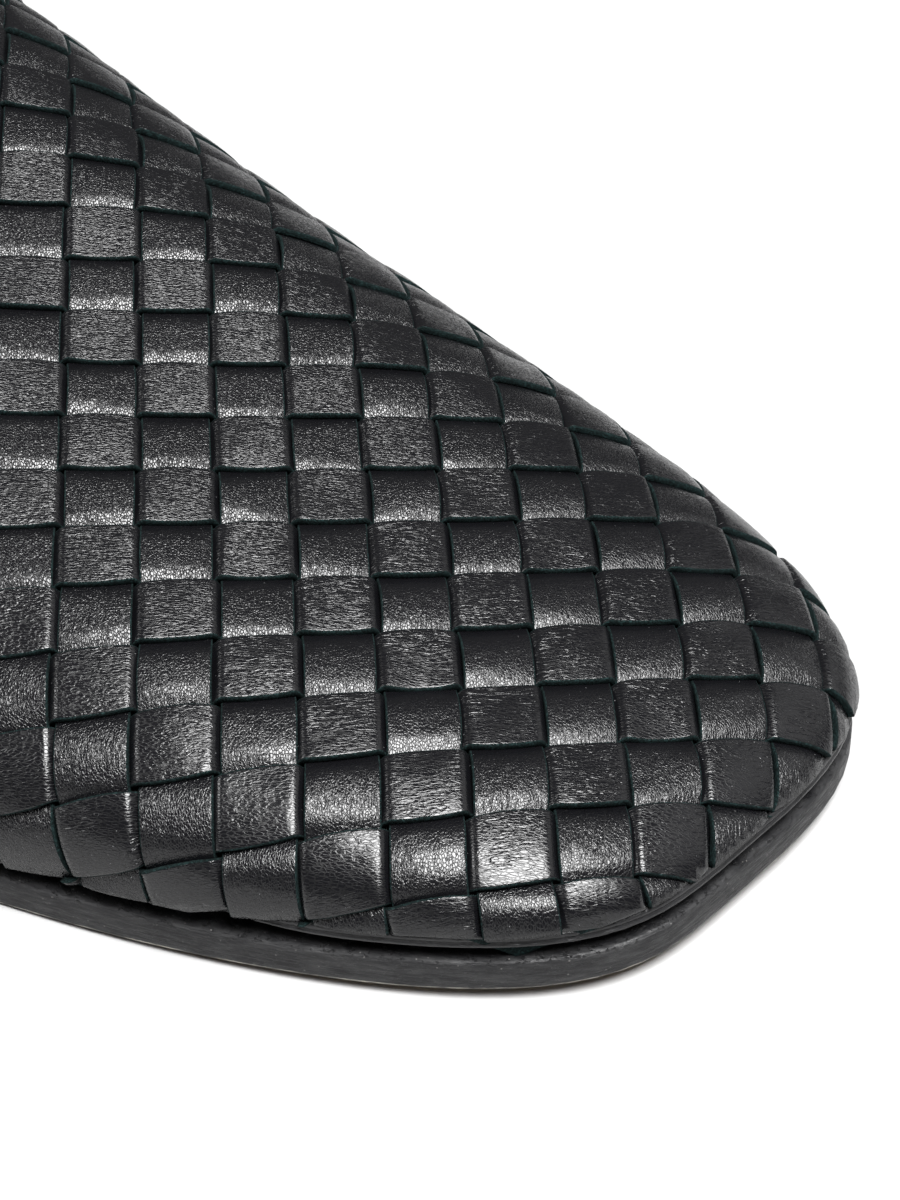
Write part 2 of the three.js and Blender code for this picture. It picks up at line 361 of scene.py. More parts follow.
@dataclass
class WeaveNet:
    """The crossings of the weave, one pitch apart along both families, over the last."""

    last: Last
    column_pitch: float = 6.55
    row_pitch: float = 6.24
    crossing_behind: float = 48.9
    crossing_side: float = 10.0
    crossing_column: int = 5
    crossing_row: int = 9
    column_guide: Guide = Guide(angle=0.875, bend_to_toe=0.0023, bend_to_heel=-0.0017)
    row_guide: Guide = Guide(angle=-0.724, bend_to_toe=-0.0012, bend_to_heel=0.0)
    strips_to_toe: int = 15
    strips_to_heel: int = 24
    start_rounds: int = 12
    crossing_rounds: int = 6
    longest_move: float = 3.0
    substeps: int = 2
    nodes: Array = field(init=False, repr=False)

    def __post_init__(self) -> None:
        """Lays the net at once."""
        size = self.strips_to_toe + self.strips_to_heel + 1
        self.nodes = np.zeros((size, size, 3))
        above_toe = self.last.upper_bottom + self.last.toe_height
        start = np.array([[-self.crossing_behind, self.crossing_side, above_toe]])
        start = self.last.onto(start, self.start_rounds)[0]
        for column_sign in (1, -1):
            columns = self._guide_strip(start, self.column_guide, column_sign, self.column_pitch)
            for row_sign in (1, -1):
                rows = self._guide_strip(start, self.row_guide, row_sign, self.row_pitch)
                self._store(self._fill(columns, rows), column_sign, row_sign)

    @property
    def first_column(self) -> int:
        """Number of the first column line."""
        return self.crossing_column - self.strips_to_heel

    @property
    def first_row(self) -> int:
        """Number of the first row line."""
        return self.crossing_row - self.strips_to_heel

    def _store(self, quarter: Array, column_sign: int, row_sign: int) -> None:
        """Puts one quarter of the net in its place.

        Args:
            quarter: Crossings by column and row, counted away from the guides.
            column_sign: 1 towards the toe, -1 towards the heel.
            row_sign: The same for the rows.
        """
        middle = self.strips_to_heel
        columns = middle + column_sign * np.arange(quarter.shape[0])
        rows = middle + row_sign * np.arange(quarter.shape[1])
        self.nodes[np.ix_(columns, rows)] = quarter

    def _guide_strip(self, start: Array, guide: Guide, sign: int, pitch: float) -> Array:
        """Lays a guide strip as taut leather lies, with a slight steady bend.

        Args:
            start: The crossing of the two guides.
            guide: The strip's angle and bends.
            sign: 1 towards the toe, -1 towards the heel.
            pitch: Distance between crossings.

        Returns:
            The crossings along the strip, the start included.
        """
        count = self.strips_to_toe if sign > 0 else self.strips_to_heel
        bend = guide.bend_to_toe if sign > 0 else guide.bend_to_heel
        angle = guide.angle if sign > 0 else guide.angle + math.pi
        step = pitch / self.substeps
        point = start[None]
        normal = self.last.normal(point)
        heading = np.array([[math.cos(angle), math.sin(angle), 0.0]])
        direction = unit(heading - normal * np.sum(heading * normal, axis=-1, keepdims=True))
        found = [start]
        for index in range(1, count * self.substeps + 1):
            reached = self.last.onto(point + direction * step, 2)
            following = self.last.onto(point + unit(reached - point) * step, 1)
            normal = self.last.normal(following)
            run = following - point
            ahead = unit(run - normal * np.sum(run * normal, axis=-1, keepdims=True))
            turn = bend * step
            direction = ahead * math.cos(turn) + np.cross(normal, ahead) * math.sin(turn)
            point = following
            if index % self.substeps == 0:
                found.append(point[0])
        return np.array(found)

    def _fill(self, columns: Array, rows: Array) -> Array:
        """Fills a quarter of the net, one slanting line of crossings after another.

        Args:
            columns: Crossings along the guide that counts the columns.
            rows: Crossings along the guide that counts the rows.

        Returns:
            Crossings by column and row.
        """
        wide, tall = len(columns), len(rows)
        net = np.zeros((wide, tall, 3))
        net[:, 0] = columns
        net[0, :] = rows
        for slant in range(2, wide + tall - 1):
            i = np.arange(max(1, slant - tall + 1), min(wide - 1, slant - 1) + 1)
            j = slant - i
            net[i, j] = self._next_crossings(net[i - 1, j], net[i, j - 1], net[i - 1, j - 1])
        return net

    def _next_crossings(self, along_columns: Array, along_rows: Array, behind_both: Array) -> Array:
        """Finds the crossings that lie one pitch from each of two neighbours, on the last.

        Args:
            along_columns: Neighbours one column back.
            along_rows: Neighbours one row back.
            behind_both: The crossings one column and one row back.

        Returns:
            The crossings.
        """
        points = self.last.onto(along_columns + along_rows - behind_both, 1)
        for _ in range(self.crossing_rounds):
            from_column = points - along_columns
            from_row = points - along_rows
            column_length = np.linalg.norm(from_column, axis=-1)
            row_length = np.linalg.norm(from_row, axis=-1)
            matrix = np.stack([self.last.slope(points), unit(from_column), unit(from_row)], axis=1)
            misses = np.stack([
                self.last.level(points), column_length - self.column_pitch, row_length - self.row_pitch,
            ], axis=-1)
            matrix += np.eye(3) * SLIGHT
            move = np.linalg.solve(matrix, misses[..., None])[..., 0]
            length = np.maximum(np.linalg.norm(move, axis=-1, keepdims=True), TINY)
            points = points - move * np.minimum(1.0, self.longest_move / length)
        return points

    def place(self, column: Array, row: Array) -> tuple[Array, Array]:
        """Where a place on the cloth lies on the last.

        Args:
            column: Column numbers, whole at the crossings.
            row: Row numbers, whole at the crossings.

        Returns:
            Points and outward normals.
        """
        c, r = column - self.first_column, row - self.first_row
        size = self.nodes.shape[0]
        base_c = np.clip(np.floor(c).astype(int), 1, size - 3)
        base_r = np.clip(np.floor(r).astype(int), 1, size - 3)
        weights_c, weights_r = _cubic_weights(c - base_c), _cubic_weights(r - base_r)
        points = np.zeros(c.shape + (3,))
        for i in range(4):
            for j in range(4):
                weight = (weights_c[i] * weights_r[j])[..., None]
                points += weight * self.nodes[base_c + i - 1, base_r + j - 1]
        points = self.last.onto(points, 2)
        return points, self.last.normal(points)


def _cubic_weights(share: Array) -> list[Array]:
    """Weights of four neighbours for a smooth curve through the middle two.

    Args:
        share: How far between the middle two, 0 to 1.

    Returns:
        One weight for each neighbour.
    """
    t = np.clip(share, 0.0, 1.0)
    return [
        -0.5 * t + t * t - 0.5 * t ** 3,
        1 - 2.5 * t * t + 1.5 * t ** 3,
        0.5 * t + 2 * t * t - 1.5 * t ** 3,
        -0.5 * t * t + 0.5 * t ** 3,
    ]


@dataclass
class Blank:
    """Points and faces of a piece before it is a Blender mesh."""

    points: list[Array] = field(default_factory=list)
    places: list[Array] = field(default_factory=list)
    faces: list[tuple[int, ...]] = field(default_factory=list)
    finishes: list[int] = field(default_factory=list)
    count: int = 0

    def add_points(self, points: Array, places: Array | None = None) -> int:
        """Adds points.

        Args:
            points: The points, in any arrangement.
            places: Places on the leather, if they differ from the points.

        Returns:
            The number of the first one.
        """
        first = self.count
        self.points.append(points.reshape(-1, 3))
        self.places.append(points.reshape(-1, 3) if places is None else places.reshape(-1, 3))
        self.count += len(self.points[-1])
        return first

    def add_face(self, corners: Sequence[int], finish: int = 0) -> None:
        """Adds a face without the corners that fall together, if enough are left.

        Args:
            corners: Numbers of its points in order.
            finish: Number of its material.
        """
        kept = [corner for n, corner in enumerate(corners) if corner != corners[n - 1]]
        if len(set(kept)) >= 3:
            self.faces.append(tuple(kept))
            self.finishes.append(finish)

    def add_loop_grid(self, rings: Array, bands: Mapping[int, int] | None = None) -> int:
        """Joins equal closed rings.

        Args:
            rings: Points by ring and place round the ring.
            bands: Finish of the band that starts at a ring, where it isn't 0.

        Returns:
            The number of the first point.
        """
        first = self.add_points(rings)
        count, size = rings.shape[:2]
        for ring in range(count - 1):
            finish = (bands or {}).get(ring, 0)
            for k in range(size):
                a, b = first + ring * size + k, first + ring * size + (k + 1) % size
                self.add_face((a, b, b + size, a + size), finish)
        return first

    def add_ribbon(
        self, points: Array, low: Array, high: Array, places: Array | None = None, bands: Array | None = None
    ) -> None:
        """Adds a sheet or a closed ribbon, whose lines start and end at steps of their own.

        Args:
            points: Points by step and place across the sheet or round the ribbon's section.
            low: First step of each line.
            high: Last step of each line.
            places: Places on the leather, the same way.
            bands: Finish of each band round a closed section. Without it the sheet is open.
        """
        first = self.add_points(points, places)
        count, size = points.shape[:2]
        closed = bands is not None

        def at(step: int, k: int) -> int:
            """Number of a line's point, held between the line's ends."""
            k %= size
            return first + int(np.clip(step, low[k], high[k])) * size + k

        for step in range(count - 1):
            for k in range(size if closed else size - 1):
                corners = (at(step, k), at(step, k + 1), at(step + 1, k + 1), at(step + 1, k))
                self.add_face(corners, int(bands[k]) if closed else 0)
        if closed:
            self.add_face([at(0, k) for k in range(size)][::-1], 1)
            self.add_face([at(count, k) for k in range(size)], 1)

    def piece(self, name: str, shift: Array, finishes: Sequence[Material]) -> Piece:
        """Makes the Blender object.

        Args:
            name: Name of the piece.
            shift: From the shoe's own coordinates to the frame's, in millimetres.
            finishes: Materials by the numbers that the faces give.

        Returns:
            The object, linked to the scene.
        """
        points = np.concatenate(self.points)
        places = np.concatenate(self.places)
        used = np.unique(np.fromiter((corner for face in self.faces for corner in face), int))
        renumber = np.full(len(points), -1)
        renumber[used] = np.arange(len(used))
        mesh = bpy.data.meshes.new(name)
        faces = [tuple(int(renumber[corner]) for corner in face) for face in self.faces]
        mesh.from_pydata(((points[used] + shift) * MM).tolist(), [], faces)
        mesh.attributes.new("place", "FLOAT_VECTOR", "POINT")
        mesh.attributes["place"].data.foreach_set("vector", places[used].astype(np.float32).ravel())
        mesh.polygons.foreach_set("use_smooth", np.ones(len(faces), bool))
        mesh.polygons.foreach_set("material_index", np.array(self.finishes, np.int32))
        for finish in finishes:
            mesh.materials.append(finish)
        mesh.validate()
        work = bmesh.new()
        work.from_mesh(mesh)
        bmesh.ops.recalc_face_normals(work, faces=work.faces)
        work.to_mesh(mesh)
        work.free()
        made = bpy.data.objects.new(name, mesh)
        bpy.context.scene.collection.objects.link(made)
        return made



@dataclass
class NodeBench:
    """Adds and joins the shader nodes of one material."""

    material: Material

    @classmethod
    def start(cls, name: str) -> NodeBench:
        """A bench with an empty node tree."""
        material = bpy.data.materials.new(name)
        material.use_nodes = True
        material.node_tree.nodes.clear()
        return cls(material)

    def node(
        self, kind: str, inputs: Mapping[str | int, Input] | None = None, **settings: object
    ) -> Node:
        """Adds a node.

        Args:
            kind: Blender's name of the node.
            inputs: Values or outputs of other nodes, by socket.
            **settings: Properties of the node.

        Returns:
            The node.
        """
        made = self.material.node_tree.nodes.new(kind)
        for key, value in settings.items():
            setattr(made, key, value)
        for key, value in (inputs or {}).items():
            if isinstance(value, Socket):
                self.material.node_tree.links.new(value, made.inputs[key])
            else:
                made.inputs[key].default_value = value
        return made

    def place(self) -> Socket:
        """The place on the leather in millimetres: along, across and a number of its own."""
        return self.node("ShaderNodeAttribute", attribute_name="place").outputs["Vector"]

    def frame_place(self) -> Socket:
        """The place in the frame in millimetres."""
        return self.scaled(self.node("ShaderNodeTexCoord").outputs["Object"], (1 / MM, 1 / MM, 1 / MM))

    def scaled(self, vector: Input, scale: Triple, offset: Triple = (0.0, 0.0, 0.0)) -> Socket:
        """A vector times one scale for each axis, then moved."""
        inputs = {"Vector": vector, "Scale": scale, "Location": offset}
        return self.node("ShaderNodeMapping", inputs).outputs[0]

    def noise(
        self, vector: Input, scale: float, detail: float = 2.0, rough: float = 0.5, bend: float = 0.0
    ) -> Socket:
        """Soft noise from 0 to 1."""
        inputs = {"Vector": vector, "Scale": scale, "Detail": detail, "Roughness": rough, "Distortion": bend}
        return self.node("ShaderNodeTexNoise", inputs).outputs["Fac"]

    def cells(self, vector: Input, scale: float, feature: str = "F1") -> Node:
        """Cells of a pebbled grain."""
        return self.node("ShaderNodeTexVoronoi", {"Vector": vector, "Scale": scale}, feature=feature)

    def math(self, how: str, a: Input, b: Input = 0.0) -> Socket:
        """One step of arithmetic."""
        return self.node("ShaderNodeMath", {0: a, 1: b}, operation=how).outputs[0]

    def span(
        self, value: Input, low: float, high: float, to_low: float = 0.0, to_high: float = 1.0
    ) -> Socket:
        """Maps low..high to another span, and stays inside it."""
        inputs = {"Value": value, 1: low, 2: high, 3: to_low, 4: to_high}
        return self.node("ShaderNodeMapRange", inputs, clamp=True).outputs["Result"]

    def blend(self, share: Input, first: Input, second: Input) -> Socket:
        """Mixes two colours.

        Args:
            share: How much of the second colour shows.
            first: One colour.
            second: The other one.

        Returns:
            The mixed colour.
        """
        made = self.node("ShaderNodeMix", data_type="RGBA")
        for key, value in (("Factor", share), (6, first), (7, second)):
            if isinstance(value, Socket):
                self.material.node_tree.links.new(value, made.inputs[key])
            else:
                made.inputs[key].default_value = value if isinstance(value, float) else (*value, 1.0)
        return made.outputs[2]

    def bump(self, height: Input, depth: float, under: Input | None = None) -> Socket:
        """Adds a relief.

        Args:
            height: Height from 0 to 1.
            depth: Depth in millimetres.
            under: Another relief that it lies over.

        Returns:
            The bent normal.
        """
        inputs: dict[str | int, Input] = {"Height": height, "Distance": depth * MM, "Strength": 1.0}
        if under is not None:
            inputs["Normal"] = under
        return self.node("ShaderNodeBump", inputs).outputs[0]

    def finish(self, colour: Input, rough: Input, normal: Input | None, **plain: float) -> Material:
        """Ends in the surface shader.

        Args:
            colour: Base colour.
            rough: Roughness.
            normal: The relief, if there is one.
            **plain: Values that are the same all over, by the shader's socket, with _ for a space.

        Returns:
            The finished material.
        """
        inputs: dict[str | int, Input] = {"Base Color": colour, "Roughness": rough}
        if normal is not None:
            inputs["Normal"] = normal
        for key, value in plain.items():
            inputs[key.replace("_", " ")] = value
        if not isinstance(colour, Socket):
            inputs["Base Color"] = (*colour, 1.0)
        shader = self.node("ShaderNodeBsdfPrincipled", inputs)
        self.node("ShaderNodeOutputMaterial", {"Surface": shader.outputs[0]})
        return self.material


@dataclass(frozen=True)
class WovenLeather:
    """Black nappa of the strips: fine pebbled grain, wrinkles along the strip, worn shine.

    Sizes and depths are millimetres, seam_width is in parts of a pebble, and the wrinkles and creases
    are so many to the millimetre along and across the strip. From flexed_from to flexed_to, in the
    frame's x, the grain gets calmer. The seams between pebbles are darkened with painted shade, and
    the pebble tops keep the lighter worn colour.
    """

    name: str
    # colour is painted shade for the seams between pebbles; worn is the lighter colour of the pebble tops.
    colour: Colour = (0.0018, 0.0018, 0.0023)
    worn: Colour = (0.0040, 0.0040, 0.0050)
    grain_size: float = 0.21
    grain_depth: float = 0.024
    stretch: float = 2.8
    lean: float = 0.25
    wrinkle_depth: float = 0.03
    wrinkle_along: float = 0.9
    wrinkle_across: float = 3.8
    seam_width: float = 0.17
    seam_rough: float = 0.22
    pillow_depth: float = 0.012
    swell_depth: float = 0.05
    swell_size: float = 1.3
    crease_depth: float = 0.03
    crease_along: float = 0.55
    crease_across: float = 2.4
    rough: float = 0.17
    flexed_from: float = 72.0
    flexed_to: float = 104.0
    calm_share: float = 0.5
    dust: Colour = (0.32, 0.32, 0.33)
    dust_place: Triple = (3.1, 7.7, 0.4)
    dust_density: float = 1.25
    dust_radius: float = 0.045
    dust_share: float = 0.5

    def _grain(self, bench: NodeBench, place: Socket) -> tuple[Socket, Socket]:
        """Lays out the pebbled grain, drawn out along the strip and leaning a little.

        Args:
            bench: Where the nodes go.
            place: The place on the leather.

        Returns:
            The place as the grain counts it, and 1 on top of a pebble down to 0 in its seams.
        """
        parts = bench.node("ShaderNodeSeparateXYZ", {0: place}).outputs
        across = bench.math("SUBTRACT", parts[1], bench.math("MULTIPLY", parts[0], self.lean))
        leaning = bench.node("ShaderNodeCombineXYZ", {0: parts[0], 1: across, 2: parts[2]}).outputs[0]
        grain = bench.scaled(leaning, (1 / (self.grain_size * self.stretch), 1 / self.grain_size, 1.0))
        drift = bench.node("ShaderNodeTexNoise", {"Vector": grain, "Scale": 0.45}).outputs[1]
        bent = bench.node("ShaderNodeVectorMath", {0: grain, 1: drift}, operation="ADD").outputs[0]
        seams = bench.cells(bent, 1.0, feature="DISTANCE_TO_EDGE").outputs["Distance"]
        return grain, bench.span(seams, 0.01, self.seam_width)

    def _folds(self, bench: NodeBench, place: Socket, wander: Socket) -> tuple[Socket, Socket]:
        """Lays out the fine wrinkles and the sharper creases along the strip.

        Args:
            bench: Where the nodes go.
            place: The place on the leather.
            wander: Slow noise that says where there are more of them.

        Returns:
            Heights of the wrinkles and of the creases.
        """
        wrinkle_place = bench.scaled(place, (self.wrinkle_along, self.wrinkle_across, 1.0), (5.0, 2.0, 0.3))
        wrinkles = bench.noise(wrinkle_place, 1.0, 1.0, 0.5, 0.25)
        crease_place = bench.scaled(place, (self.crease_along, self.crease_across, 1.0))
        waves = bench.noise(crease_place, 1.0, 1.0, 0.5, 0.3)
        valley = bench.math("ABSOLUTE", bench.math("SUBTRACT", waves, 0.5))
        creases = bench.span(valley, 0.0, 0.05, -1.0, 0.0)
        return (
            bench.math("MULTIPLY", wrinkles, bench.span(wander, 0.36, 0.60, 0.35, 1.0)),
            bench.math("MULTIPLY", creases, bench.span(wander, 0.42, 0.62)),
        )

    def make(self) -> Material:
        """Builds the material.

        Returns:
            The material, whose grain is calmer towards the toe.
        """
        bench = NodeBench.start(self.name)
        place = bench.place()
        wander = bench.noise(bench.scaled(place, (0.22, 0.22, 1.0)), 1.0)
        grain, flat = self._grain(bench, place)
        wrinkles, creases = self._folds(bench, place, wander)
        frame_x = bench.node("ShaderNodeSeparateXYZ", {0: bench.frame_place()}).outputs[0]
        calm = bench.span(frame_x, self.flexed_from, self.flexed_to, 1.0, self.calm_share)
        relief = bench.bump(bench.noise(place, 1 / self.swell_size), self.swell_depth)
        relief = bench.bump(creases, self.crease_depth, relief)
        relief = bench.bump(wrinkles, self.wrinkle_depth, relief)
        relief = bench.bump(bench.math("MULTIPLY", flat, calm), self.grain_depth, relief)
        relief = bench.bump(bench.noise(grain, 0.8, 1.0), self.pillow_depth, relief)
        dust_place = bench.scaled(place, (1.0, 1.0, 1.0), self.dust_place)
        from_dust = bench.cells(dust_place, self.dust_density).outputs["Distance"]
        on_dust = bench.math("LESS_THAN", from_dust, self.dust_radius)
        # Painted shade: the seams between pebbles get the darker colour, the pebble tops the lighter worn
        # one.
        colour = bench.blend(flat, self.colour, self.worn)
        colour = bench.blend(bench.math("MULTIPLY", on_dust, self.dust_share), colour, self.dust)
        rough = bench.span(flat, 0.0, 1.0, self.rough + self.seam_rough, self.rough)
        return bench.finish(colour, rough, relief, Specular_IOR_Level=0.5)


@dataclass(frozen=True)
class CutEdge:
    """Raw edge of a strip: dyed dark teal, matt and fibrous."""

    name: str = "cut_edge"
    colour: Colour = (0.002, 0.005, 0.005)
    fibre: Colour = (0.022, 0.048, 0.048)

    def make(self) -> Material:
        """Builds the material.

        Returns:
            The material.
        """
        bench = NodeBench.start(self.name)
        place = bench.frame_place()
        fuzz = bench.noise(place, 5.5, 3.0, 0.7)
        loose = bench.noise(place, 1.6, 2.0, 0.5)
        share = bench.math("MULTIPLY", bench.span(fuzz, 0.45, 0.75), bench.span(loose, 0.3, 0.7, 0.3, 1.0))
        colour = bench.blend(share, self.colour, self.fibre)
        return bench.finish(colour, 0.92, bench.bump(fuzz, 0.10), Specular_IOR_Level=0.12)


@dataclass(frozen=True)
class PlainLeather:
    """Smooth leather of the rand, the throat's edge, the lining or the footbed."""

    name: str
    colour: Colour = (0.009, 0.009, 0.010)
    worn: Colour = (0.020, 0.020, 0.021)
    rough: float = 0.45
    grain_size: float = 0.5
    grain_depth: float = 0.03
    crease_depth: float = 0.05

    def make(self) -> Material:
        """Builds the material.

        Returns:
            The material.
        """
        bench = NodeBench.start(self.name)
        place = bench.frame_place()
        grain = bench.cells(place, 1 / self.grain_size).outputs["Distance"]
        crease = bench.noise(bench.scaled(place, (0.25, 0.9, 0.9)), 1.0, 4.0, 0.6, 0.6)
        relief = bench.bump(bench.span(crease, 0.35, 0.65), self.crease_depth)
        relief = bench.bump(bench.math("SUBTRACT", 1.0, grain), self.grain_depth, relief)
        wear = bench.noise(place, 0.08, 4.0, 0.6)
        colour = bench.blend(bench.span(wear, 0.45, 0.75), self.colour, self.worn)
        rough = bench.span(wear, 0.3, 0.7, self.rough + 0.05, self.rough - 0.08)
        return bench.finish(colour, rough, relief, Specular_IOR_Level=0.45)


@dataclass(frozen=True)
class SoleEdge:
    """Dyed and burnished edge of a leather sole: fibres along it, pits and scuffs."""

    name: str = "sole_edge"
    colour: Colour = (0.006, 0.006, 0.007)
    worn: Colour = (0.027, 0.027, 0.028)
    dust: Colour = (0.16, 0.155, 0.15)
    rough: float = 0.5

    def make(self) -> Material:
        """Builds the material.

        Returns:
            The material.
        """
        bench = NodeBench.start(self.name)
        place = bench.frame_place()
        streak = bench.noise(bench.scaled(place, (0.45, 0.45, 5.0)), 1.0, 4.0, 0.65, 0.2)
        pits = bench.noise(bench.scaled(place, (1.6, 1.6, 4.0)), 1.0, 3.0, 0.7)
        pit = bench.span(pits, 0.34, 0.44)
        scuff = bench.noise(bench.scaled(place, (0.3, 0.3, 1.6)), 1.0, 5.0, 0.7)
        relief = bench.bump(streak, 0.16)
        relief = bench.bump(pit, 0.14, relief)
        colour = bench.blend(bench.span(scuff, 0.46, 0.66), self.colour, self.worn)
        grit = bench.cells(place, 1.1).outputs["Distance"]
        colour = bench.blend(bench.span(grit, 0.06, 0.10, 0.7, 0.0), colour, self.dust)
        rough = bench.span(streak, 0.4, 0.6, self.rough - 0.1, self.rough + 0.2)
        return bench.finish(colour, rough, relief, Specular_IOR_Level=0.4)


@dataclass(frozen=True)
class NaturalLeather:
    """Undyed underside of the sole, scuffed by wear."""

    name: str = "sole_underside"
    colour: Colour = (0.27, 0.20, 0.135)
    worn: Colour = (0.12, 0.095, 0.07)

    def make(self) -> Material:
        """Builds the material.

        Returns:
            The material.
        """
        bench = NodeBench.start(self.name)
        place = bench.frame_place()
        fibre = bench.noise(bench.scaled(place, (1.6, 1.1, 1.1)), 1.0, 5.0, 0.7)
        wear = bench.noise(bench.scaled(place, (0.02, 0.05, 0.05)), 1.0, 6.0, 0.65)
        colour = bench.blend(bench.span(wear, 0.42, 0.70), self.colour, self.worn)
        colour = bench.blend(bench.span(fibre, 0.5, 0.8, 0.0, 0.4), colour, (0.34, 0.265, 0.19))
        return bench.finish(colour, 0.72, bench.bump(fibre, 0.06), Specular_IOR_Level=0.3)


@dataclass(frozen=True)
class LiftRubber:
    """Hard rubber of the heel's wear plate."""

    name: str = "lift_rubber"
    colour: Colour = (0.012, 0.012, 0.012)
    worn: Colour = (0.035, 0.034, 0.033)

    def make(self) -> Material:
        """Builds the material.

        Returns:
            The material.
        """
        bench = NodeBench.start(self.name)
        place = bench.frame_place()
        speck = bench.noise(place, 2.2, 3.0, 0.7)
        wear = bench.noise(place, 0.12, 5.0, 0.65)
        colour = bench.blend(bench.span(wear, 0.45, 0.75), self.colour, self.worn)
        return bench.finish(colour, 0.8, bench.bump(speck, 0.05), Specular_IOR_Level=0.35)


@dataclass(frozen=True)
class StudioFloor:
    """Matt white floor."""

    name: str = "studio_floor"
    colour: Colour = (0.450, 0.450, 0.450)

    def make(self) -> Material:
        """Builds the material."""
        return NodeBench.start(self.name).finish(self.colour, 1.0, None, Specular_IOR_Level=0.0)


def dress(piece: Piece, slot: str, *nodes: str) -> Piece:
    """Puts a piece on the shoe's body in place of CAD nodes.

    Args:
        piece: The piece, in place.
        slot: The record's material slot; not used.
        *nodes: The nodes that it stands for.

    Returns:
        The same piece.
    """
    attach(piece, BODY)
    if nodes:
        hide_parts(*nodes)
    log.info("%s: %d faces", piece.name, len(piece.data.polygons))
    return piece


@dataclass(frozen=True)
class Crease:
    """A soft fold across the top of one cell.

    It belongs to the strip numbered lane, in the cell numbered along, and runs from start to end, in
    parts of the cell from its middle. Height and width are millimetres.
    """

    family: StripFamily
    lane: int
    along: int
    start: tuple[float, float]
    end: tuple[float, float]
    height: float = -0.12
    width: float = 0.42
    end_share: float = 0.35

    def relief(self, x: Array, y: Array, along_pitch: float, across_pitch: float) -> Array:
        """How far the fold lifts the leather.

        Args:
            x: Places along the strip from the cell's middle, in millimetres.
            y: Places across it.
            along_pitch: Length of a cell.
            across_pitch: Width of a cell.

        Returns:
            Height in millimetres, negative in a trough.
        """
        start = np.array(self.start) * (along_pitch, across_pitch)
        run = np.array(self.end) * (along_pitch, across_pitch) - start
        share = ((x - start[0]) * run[0] + (y - start[1]) * run[1]) / (run @ run)
        held = np.clip(share, 0.0, 1.0)
        gap = np.hypot(x - start[0] - held * run[0], y - start[1] - held * run[1])
        strength = mix(self.end_share, 1.0, np.sin(math.pi * held))
        return self.height * np.exp(-((gap / self.width) ** 2)) * strength


def fan(
    family: StripFamily, lane: int, along: int, lines: Sequence[tuple[float, float, float, float]]
) -> tuple[Crease, ...]:
    """Several folds of one cell, a line each: along and across at the start, then at the end."""
    return tuple(Crease(family, lane, along, line[:2], line[2:]) for line in lines)


@dataclass(frozen=True)
class StripForm:
    """How the strips of one family are cut, and how they go over and under.

    The share is their width in parts of the pitch, snap how steeply they dive, dive how soon they do
    it, and belly how much wider they are where they lie on top.
    """

    share: float
    snap: float
    dive: float
    belly: float


